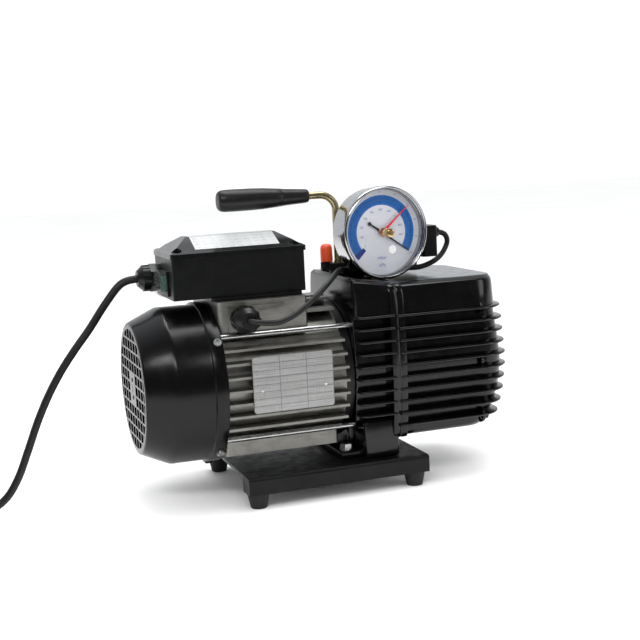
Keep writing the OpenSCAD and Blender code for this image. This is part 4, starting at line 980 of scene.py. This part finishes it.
class PUMP_OT_castings(bpy.types.Operator):
    """Pump body and oil reservoir: drafted castings with rounded corners, flanges and ribs"""
    bl_idname = "pump.castings"
    bl_label = "Castings"

    def execute(self, context):
        paint = FINISHES["paint"]
        self.reservoir(paint)
        self.pump_body(paint)
        return {"FINISHED"}

    def half_width(self, z0, z1):
        return [(z0, HALF - 8), (z0 + 4, HALF - 1), (AXIS_Z, HALF + BULGE), (z1 - 14, HALF), (z1 - 3, HALF - 3),
                (z1, HALF - 9)]

    def shell(self, name, rows, corners, paint, lean=None, steps=9):
        """rows are (z, x0, x1, half); rings are skinned from the lowest to the highest."""
        rings = []
        for z, x0, x1, half in rows:
            tight = max(0.0, HALF - half)
            ring = plan_ring(z, x0, x1, half, max(corners[0] - tight, 0.3), max(corners[1] - tight, 4.0), steps,
                             corners[2] if len(corners) > 2 else None)
            if lean:
                ring = [p + Vector((0, 0, lean(p, z))) for p in ring]
            rings.append(ring)
        return loft(name, rings, paint, None, 22.0)

    def flange(self, name, x0, x1, paint):
        half = self.half_width(42, 181.6)
        half = chaikin([(0.0, 42.0)] + [(w + 2.2, z) for z, w in half] + [(0.0, 181.6)], 2)
        rings = []
        for x, inset in ((x0, 0.7), (x0 + 0.2, 0.2), (x0 + 0.7, 0.0), (x1 - 0.7, 0.0), (x1 - 0.2, 0.2), (x1, 0.7)):
            ring = []
            for side, line in ((1, half), (-1, list(reversed(half))[1:-1])):
                for w, z in line:
                    shrink = 1 - inset / 68
                    ring.append(at(x, side * w * shrink, 111.8 + (z - 111.8) * shrink))
            rings.append(ring)
        return loft(name, rings, paint, None, 40.0)

    def fin_shape(self, x0, x1, half, corner0, corner1, thick):
        """A rib as a level plate with a drafted root and a rounded rim, centred on the frame's origin."""
        rings = []
        t = thick / 2
        for z, inset in ((-t - 0.7, 6.0), (-t, 0.9), (-0.75 * t, 0.3), (-0.3 * t, 0.0), (0.3 * t, 0.0),
                         (0.75 * t, 0.3), (t, 0.9), (t + 0.7, 6.0)):
            rings.append(plan_ring(z, x0 + min(inset, 2.0) * (corner0 > 0.1), x1 - inset, half - inset,
                                   max(corner0 - inset, 0.05), max(corner1 - inset, 0.05), 8))
        return loft("fin_shape", rings, FINISHES["paint"], None, 50.0)

    def reservoir(self, paint):
        halves = self.half_width(43.5, 181.2)
        rows = [(43.5, 223.8, 300.0, 46.0)]
        for z in (43.5, 47.5, 51.0, 54.4, 55.0, 55.6, 56.4, 62.0, 79.0, 100.0, 121.0, 144.0, 151.4, 152.2, 152.8,
                  153.4, 155.0, 167.2, 175.6, 178.2, 180.6, 181.2):
            recess = FIN_RECESS if 55.3 < z < 152.5 else 0.0
            rows.append((z, 223.8, between(END, z), between(halves, z) - recess))
        rows.append((181.2, 223.8, 312.0, 47.0))
        rows = chaikin(rows, 2)
        body = self.shell("reservoir_body", rows, (0.3, 26.0), paint, steps=10)
        fin = self.fin_shape(223.8, 335.0, 72.0, 0.06, 30.0, 2.3)
        places = []
        for k in range(FINS):
            z = 152.7 - 10.8 * k
            reach = (between(FIN_END, z) - MID) / (335.0 - MID)
            half = (HALF + (6 if 66 < z < 150 else 4)) / 72.0
            places.append((Vector((0, 0, z / 1000)), (0, 0, 0), (reach, half, 1.0)))
        fins = placed_copies("reservoir_fins", fin, places, paint, None, 50.0)
        parts = [body, fins, self.flange("reservoir_flange", 223.8, 230.0, paint)]
        boss = [(0, 16.4), (28.5, 15.6), (33.6, 15.3), (36.2, 15.1), (37.0, 14.8), (37.4, 14.2), (37.4, 12.2),
                (34.2, 12.1), (34.2, 0.0)]
        parts.append(lathe("sight_boss", boss, at(300, 0, 94), (1, 0, 0), paint, 48, None))
        drain = [(0, 9.6), (24.6, 8.3), (25.6, 8.0), (26.0, 7.5), (26.0, 0.0)]
        parts.append(lathe("drain_boss", drain, at(296, 0, 56), (1, 0, 0), paint, 36, None))
        cup = [(-2.0, 7.2), (0.2, 7.0), (0.9, 6.6), (0.9, 5.3), (-2.0, 5.3)]
        cup_shape = lathe("cup_shape", cup, Vector((0, 0, 0)), (1, 0, 0), paint, 24, None, 32.0, True)
        cups = [(at(306.0, y, z), (0, 0, 0), (1, 1, 1)) for y in (-60, 60) for z in (54, 104, 154)]
        parts.append(placed_copies("screw_cups", cup_shape, cups, paint, None))
        made = joined("oil_reservoir_finished", parts, material=paint)
        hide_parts("oil_reservoir")

    def pump_body(self, paint):
        halves = self.half_width(56, 188)
        rows = [(56.0, 186.0, 222.8, 50.0)]
        for z in (56.0, 56.6, 57.6, 62.0, 80.0, 101.5, 130.0, 148.0, 152.6, 153.4, 154.2, 156.0, 174.0, 182.0, 185.0,
                  187.4, 188.0):
            recess = RIB_RECESS if 56.3 < z < 153.5 else 0.0
            rows.append((z, 184.6 if z < 187 else 185.6, 222.8, between(halves, z) - recess))
        rows.append((188.0, 187.5, 222.8, 50.0))
        rows = chaikin(rows, 2)

        def lean(p, z):
            share = min(max((z - 172.0) / 14.0, 0.0), 1.0)
            return -share * max(0.0, (p.x * 1000 + MID - 186.6) * 0.1758) / 1000

        parts = [self.shell("pump_shell", rows, (7.0, 0.3, 18.0), paint, lean)]
        rib = self.fin_shape(185.3, 219.8, 73.2, 8.0, 0.3, 2.2)
        places = []
        for k in range(FINS):
            z = 153.7 - 10.9 * k
            half = (between(halves, z) + 4.2) / 73.2
            places.append((Vector((0, 0, z / 1000)), (0, 0, 0), (1.0, half, 1.0)))
        parts.append(placed_copies("pump_ribs", rib, places, paint, None, 50.0))
        parts.append(self.flange("pump_flange", 216.5, 223.0, paint))
        parts.append(rounded_block("deck_pad", (185.0, -9, 170), (218, 36, 188.6), 0.9, paint, 3))
        parts.append(rounded_block("foot_block", (190, -65, 28.1), (222, 65, 61), 2.2, paint, 3))
        parts.append(rounded_block("foot_plate", (171, -54, 28.1), (222, 54, 34), 1.2, paint, 3))
        for side in (-1, 1):
            a, b = sorted((side * 28, side * 34))
            parts.append(rounded_block("gusset", (186, a, 30), (200, b, 60), 1.0, paint, 2))
        made = joined("pump_body_finished", parts, material=paint)
        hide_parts("pump_body")


# ---- gauge -----------------------------------------------------------------------

GAUGE = (Matrix.Translation(at(228.4, -34, 223.7)) @ Matrix.Rotation(math.radians(5), 4, "Z")
         @ Matrix.Rotation(math.radians(90), 4, "X"))
OUT = GAUGE.to_3x3() @ Vector((0, 0, 1))     # from the dial towards the viewer
SCALE_START = 215      # degrees, where the scale begins
SCALE_SWEEP = 250
PRINT_Z = -6.67        # of the dial's print, in the gauge's own millimetres


def flat_text(text, size, x, y, material):
    """Raised print on the dial, placed in the gauge's own plane in millimetres."""
    curve = bpy.data.curves.new("print", "FONT")
    curve.body = text
    curve.size = size / 1000
    curve.align_x = "CENTER"
    curve.align_y = "CENTER"
    curve.resolution_u = 2
    curve.extrude = 0.00002
    obj = linked("print", curve)
    deps = bpy.context.evaluated_depsgraph_get()
    mesh = bpy.data.meshes.new_from_object(obj.evaluated_get(deps))
    bpy.data.objects.remove(obj)
    bpy.data.curves.remove(curve)
    mesh.transform(GAUGE @ Matrix.Translation(Vector((x, y, PRINT_Z)) / 1000))
    return as_piece("print", mesh, material, None, 30.0)


class PUMP_OT_gauge(bpy.types.Operator):
    """Dial with its band, ticks and numbers, the setting pointer with its knob, and the case"""
    bl_idname = "pump.gauge"
    bl_label = "Gauge"

    def execute(self, context):
        F = FINISHES
        disc = [(0, 1.2), (0, 39.0), (0.2, 39.3), (0.6, 39.3), (0.8, 39.1), (0.8, 1.2)]
        dial = lathe("dial_disc", disc, GAUGE @ Vector((0, 0, -0.0075)), OUT, F["enamel"], 96, None, 30.0, True)
        parts = [dial, self.sector(24.3, 33.1, SCALE_START, -35, F["band"]),
                 self.sector(22.2, 33.4, 225, 215.4, F["navy"]),
                 self.sector(30.2, 30.5, SCALE_START, -35, F["band_dark"], -6.63),
                 self.sector(26.8, 27.05, SCALE_START, -35, F["band_dark"], -6.63)]
        for count, radius, length, width in ((101, 28.6, 3.4, 0.18), (51, 31.7, 2.3, 0.16), (11, 28.7, 8.5, 0.3)):
            ticks = tree("ring").run("dial_ticks", {
                "Count": count, "Start": math.radians(SCALE_START), "Sweep": math.radians(SCALE_SWEEP),
                "Radius": radius / 1000, "Length": length / 1000, "Width": width / 1000, "Height": 0.00003,
                "Material": F["band_dark"]},
                body=None, place=GAUGE @ Matrix.Translation(Vector((0, 0, -0.00662))))
            parts.append(ticks)
        for k in range(11):
            angle = math.radians(SCALE_START - SCALE_SWEEP / 10 * k)
            x, y = math.cos(angle), math.sin(angle)
            parts.append(flat_text(str(10 * k), 2.9, 36.0 * x, 36.0 * y, F["print_pale"]))
            parts.append(flat_text(str(100 * k), 2.7, 20.0 * x, 20.0 * y, F["print_grey"]))
        parts.append(flat_text("mbar", 4.6, 0, -23.0, F["print_blue"]))
        parts.append(flat_text("hPa", 4.6, 0, -29.8, F["print_blue"]))
        parts.append(lathe("dial_dot", [(0, 0.0), (0, 3.8), (0.2, 3.95), (0.5, 3.7), (0.6, 3.2), (0.6, 0.0)],
                           GAUGE @ Vector((0.0105, -0.0165, -0.0067)), OUT,
                           F["white"], 32, None))
        drum = [(0, 1.2), (0, 15.7), (0.3, 16.0), (14.6, 16.0), (14.9, 15.7), (14.9, 1.2)]
        parts.append(lathe("movement", drum, GAUGE @ Vector((0, 0, -0.0224)), OUT,
                           F["zinc"], 48, None, 30.0, True))
        ring = [(-4.0, 39.5), (-4.0, 41.2), (-3.6, 41.6), (1.0, 41.6), (2.4, 41.5), (3.6, 41.1), (4.4, 40.5),
                (4.7, 39.9), (4.5, 39.3), (3.9, 38.9), (3.1, 38.9), (2.6, 39.2), (1.4, 39.4), (1.2, 38.9),
                (0.8, 38.7), (-1.0, 38.7), (-1.0, 39.5)]
        bezel = lathe("gauge_bezel_finished", ring, GAUGE @ Vector((0, 0, 0)), OUT,
                      F["chrome"], 128, ROOT, 40.0, True)
        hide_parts("gauge_bezel")
        face = joined("gauge_dial_finished", parts)
        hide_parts("gauge_dial")
        self.set_pointer()
        return {"FINISHED"}

    def sector(self, inner, outer, start, end, material, z=-6.66):
        """A thin printed arc on the dial."""
        steps = 72
        rings = []
        for k in range(steps + 1):
            a = math.radians(start + (end - start) * k / steps)
            c, s = math.cos(a), math.sin(a)
            rings.append([GAUGE @ (Vector((r * c, r * s, h)) / 1000)
                          for r, h in ((inner, -6.72), (outer, -6.72), (outer, z), (inner, z))])
        return loft("dial_arc", rings, material, None, 30.0)

    def set_pointer(self):
        F = FINISHES
        arm = []
        turn = Matrix.Rotation(math.radians(40.4), 4, "Z")
        for x, w in ((0.0, 1.5), (6.0, 1.25), (22.0, 0.75), (33.4, 0.42), (34.8, 0.2)):
            arm.append([GAUGE @ (turn @ (Vector((x, y, z)) / 1000))
                        for y, z in ((-w, -3.55), (-0.7 * w, -3.05), (0.7 * w, -3.05), (w, -3.55))])
        parts = [loft("set_arm", arm, F["red"], None, 20.0)]
        hub = [(0, 1.9), (0, 3.6), (0.25, 4.0), (0.75, 4.0), (1.05, 3.6), (1.2, 1.9)]
        parts.append(lathe("set_hub", hub, GAUGE @ Vector((0, 0, -0.0038)), OUT, F["copper_flat"], 40, None,
                           30.0, True))
        spindle = [(0, 0.0), (0, 1.5), (0.3, 1.8), (7.2, 1.8), (7.2, 0.0)]
        parts.append(lathe("set_spindle", spindle, GAUGE @ Vector((0, 0, -0.003)), OUT, F["brass"], 32, None))
        knob = [(0, 0.0), (0, 3.3), (0.35, 3.7), (1.3, 3.75), (1.6, 3.45), (2.1, 3.45), (2.4, 3.75), (8.8, 3.75),
                (9.5, 3.45), (9.8, 3.0), (9.9, 2.4), (9.9, 0.0)]
        parts.append(lathe("set_knob", knob, GAUGE @ Vector((0, 0, 0.0036)), OUT, F["brass"], 64, None, 30.0))
        parts.append(tree("ring").run("knob_ridges", {
            "Count": 37, "Start": 0.0, "Sweep": 2 * math.pi, "Radius": 0.00374, "Length": 0.00032,
            "Width": 0.0003, "Height": 0.0062, "Material": F["brass"]}, body=None,
            place=GAUGE @ Matrix.Translation(Vector((0, 0, 0.0092)))))
        made = joined("setting_pointer_finished", parts, "set_pointer")
        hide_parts("setting_pointer")


# ---- valve cable -----------------------------------------------------------------

CABLE_ROUTE = [
    (90, -64, 160.5), (90.5, -70.5, 160.5), (95, -73.8, 159.9), (104, -74.5, 158.6), (116, -73, 158.6),
    (130, -69, 163), (143, -65, 170), (156, -59.5, 178.5), (168, -52, 186.5), (178, -41, 191.5),
    (187, -28, 193.2), (195, -15, 191.4), (205, -7.5, 191.3), (220, -5, 191.2), (240, -5, 189.5),
    (258, -5, 187.5), (274, -4, 187), (287, -2.5, 190), (297, 0, 195), (303.5, 2, 201.5),
    (306.3, 2, 209), (303.5, 2, 215.5), (296, 2, 218),
]


class PUMP_OT_valve_cable(bpy.types.Operator):
    """Cable from its gland on the housing to the valve's connector"""
    bl_idname = "pump.valve_cable"
    bl_label = "Valve cable"

    def execute(self, context):
        sizes = context.scene.pump_sizes
        path = spline_through([at(*p) for p in CABLE_ROUTE], 0.003)
        cable = tube("valve_cable_finished", path, sizes.cable / 2 - 0.00005, FINISHES["sheath"], 16)
        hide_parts("valve_cable")
        return {"FINISHED"}


# ---- labels ----------------------------------------------------------------------

class PUMP_OT_labels(bpy.types.Operator):
    """Nameplate with its ruled table, rivets, and the blank label on the lid"""
    bl_idname = "pump.labels"
    bl_label = "Labels"

    def execute(self, context):
        plate = self.plate("nameplate_finished", 88.9, 160.8, 81.7, 130.1, -70.9, -70.2, 2.5, FINISHES["plate"])
        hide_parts("nameplate")
        head = [(0, 0.0), (0, 1.7), (0.25, 1.9), (0.55, 1.75), (0.85, 1.3), (1.0, 0.7), (1.05, 0.0)]
        shape = lathe("rivet_shape", head, Vector((0, 0, 0)), (0, -1, 0), FINISHES["zinc"], 20, None, 40.0)
        rivets = placed_copies("nameplate_rivets_finished", shape, [
            (at(x, -70.85, AXIS_Z), (0, 0, 0), (1, 1, 1)) for x in (97, 153.5)], FINISHES["zinc"])
        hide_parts("nameplate_rivets")
        rings = []
        for y in (-29.4, -29.0, -20.0, -8.6, -7.6, 7.6, 8.6, 20.0, 29.0, 29.4):
            z = 230.45 - max(0.0, abs(y) - 8.0) * 0.4516
            thin = 0.03 if abs(y) > 29.2 else 0.0
            rings.append([at(56.5, y, z - 0.2), at(131.5, y, z - 0.2), at(131.5, y, z - thin), at(56.5, y, z - thin)])
        label = loft("lid_label", rings, FINISHES["label"], ROOT, 30.0)
        return {"FINISHED"}

    def plate(self, name, x0, x1, v0, v1, out, back, corner, material):
        """An upright plate facing the front, with rounded corners and a broken front edge."""
        rings = []
        ring = []
        for cx, cv, start in ((x1 - corner, v1 - corner, 0), (x0 + corner, v1 - corner, 90),
                              (x0 + corner, v0 + corner, 180), (x1 - corner, v0 + corner, 270)):
            ring += arc(cx, cv, corner, start, start + 90, 5)
        mx, mv = (x0 + x1) / 2, (v0 + v1) / 2
        for depth, inset in ((back, 0.0), (out + (back - out) * 0.25, 0.0), (out, 0.12)):
            points = []
            for x, v in ring:
                x = mx + (x - mx) * (1 - 2 * inset / (x1 - x0))
                v = mv + (v - mv) * (1 - 2 * inset / (v1 - v0))
                points.append(at(x, depth, v))
            rings.append(points)
        return loft(name, rings, material, ROOT, 30.0)


# ---- pieces on the nodes' own shapes, and small turned ones ------------------------

SCREW_SEAT = 306.05    # just above the seats of the reservoir's screws
GRIP_END = (85.5, 0, 259)
CAP_FOOT = (192.3, 22, 196.6)


class PUMP_OT_finishes(bpy.types.Operator):
    """Materials, and finishes on the nodes that keep their own shape"""
    bl_idname = "pump.finishes"
    bl_label = "Finishes"

    kept = {
        "tie_rods": "bright", "stator_core": "laminate", "stator_windings": "copper", "cooling_fan": "fan",
        "motor_shaft": "bright", "rotor_core": "laminate", "bearing_outer_rings": "bright",
        "bearing_inner_rings": "bright", "bearing_balls": "bright", "base_screws": "zinc",
        "fan_cover_screws": "zinc", "lid_screws": "zinc", "flange_gasket": "fibre",
        "sight_glass": "window", "drain_plug": "brass", "exhaust_cap": "fitting",
        "intake_port": "black_metal", "gauge_case": "chrome",
        "gauge_lens": "glass", "gauge_pointer": "black_ink", "handle_rod": "yellow_zinc",
        "pump_rotor": "bright", "pump_cylinders": "iron", "pump_end_plates": "iron", "vane_1a": "carbon",
        "vane_1b": "carbon", "vane_2a": "carbon", "vane_2b": "carbon", "rubber_feet": "rubber",
        "switch_rocker": "green",
    }

    def execute(self, context):
        make_finishes(context.scene.pump_looks)
        for node, finish in self.kept.items():
            obj = frame["nodes"][node]
            for slot in obj.material_slots:
                slot.material = FINISHES[finish]
        return {"FINISHED"}


class PUMP_OT_rounded(bpy.types.Operator):
    """Pieces whose edges are rounded over the nodes' own shapes"""
    bl_idname = "pump.rounded"
    bl_label = "Rounded pieces"

    rounded = {
        "base_plate": (1.0, "powder"), "motor_housing": (0.45, "housing"), "fan_shield": (0.5, "shield"),
        "drive_shield": (0.6, "shield"), "box_adaptor": (0.6, "box"), "terminal_box": (0.8, "box"),
        "terminal_box_lid": (0.9, "lid"), "switch_body": (0.35, "box"), "switch_boot": (0.9, "boot"),
        "cord_gland": (0.35, "fitting"), "valve_gland": (0.35, "fitting"),
        "valve_block": (0.6, "bronze"), "solenoid_coil": (1.2, "box"),
        "din_connector": (0.9, "box"), "handle_nut": (0.5, "shield"),
    }

    def execute(self, context):
        for node, (width, finish) in self.rounded.items():
            refined(node, width, FINISHES[finish])
        refined("reservoir_screws", 0.2, FINISHES["black_metal"], cut=SCREW_SEAT)
        self.grip()
        self.intake_cap()
        return {"FINISHED"}

    def grip(self):
        """Tapered grip with a round end, open towards the rod."""
        profile = [(7.0, 0.0), (7.0, 3.45), (84.0, 3.45), (84.0, 4.9), (83.7, 5.5), (82.6, 6.0), (80.0, 6.3),
                   (72.0, 6.8), (63.0, 7.4), (59.2, 7.8), (58.7, 7.75), (58.2, 8.0), (52.0, 8.5), (42.0, 9.3),
                   (30.0, 9.75), (12.0, 9.88), (7.0, 9.8), (4.0, 9.5), (2.2, 8.9), (1.0, 8.1), (0.3, 7.0),
                   (0.05, 5.6), (0.0, 4.0), (0.0, 0.0)]
        made = lathe("handle_grip_finished", profile, at(*GRIP_END), (1, 0, 0), FINISHES["grip"], 64)
        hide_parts("handle_grip")

    def intake_cap(self):
        """Hollow cap with a rounded top; it rides on its own body."""
        profile = [(11.6, 0.0), (11.6, 4.3), (0.0, 4.3), (0.0, 5.45), (0.25, 5.7), (11.8, 5.6), (13.4, 5.35),
                   (14.6, 4.8), (15.5, 3.9), (16.0, 2.7), (16.2, 1.3), (16.2, 0.0)]
        body = frame["nodes"]["intake_cap"]["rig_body"]
        made = lathe("intake_cap_finished", profile, at(*CAP_FOOT), (0, 0, 1), FINISHES["orange"], 48, body, 40.0)
        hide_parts("intake_cap")


class PUMP_PT_panel(bpy.types.Panel):
    """Sizes, colours and the steps of the build"""
    bl_idname = "PUMP_PT_panel"
    bl_label = "Vacuum pump"
    bl_space_type = "VIEW_3D"
    bl_region_type = "UI"
    bl_category = "Vacuum pump"

    def draw(self, context):
        for group in (context.scene.pump_sizes, context.scene.pump_looks):
            for key in group.bl_rna.properties.keys():
                if key not in ("rna_type", "name"):
                    self.layout.prop(group, key)
        for operator in STEPS:
            self.layout.operator(operator.bl_idname)


STEPS = [
    PUMP_OT_finishes,
    PUMP_OT_stage,
    PUMP_OT_power_cord,
    PUMP_OT_rounded,
    PUMP_OT_fan_cover,
    PUMP_OT_castings,
    PUMP_OT_gauge,
    PUMP_OT_valve_cable,
    PUMP_OT_labels,
]
CLASSES = [PumpLooks, PumpSizes, *STEPS, PUMP_PT_panel]


def register():
    for made in CLASSES:
        bpy.utils.register_class(made)
    bpy.types.Scene.pump_looks = bpy.props.PointerProperty(type=PumpLooks)
    bpy.types.Scene.pump_sizes = bpy.props.PointerProperty(type=PumpSizes)


def unregister():
    del bpy.types.Scene.pump_sizes
    del bpy.types.Scene.pump_looks
    for made in reversed(CLASSES):
        bpy.utils.unregister_class(made)


def main():
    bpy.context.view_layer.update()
    register()
    for operator in STEPS:
        group, call = operator.bl_idname.split(".")
        getattr(getattr(bpy.ops, group), call)()


if __name__ == "__main__":
    main()
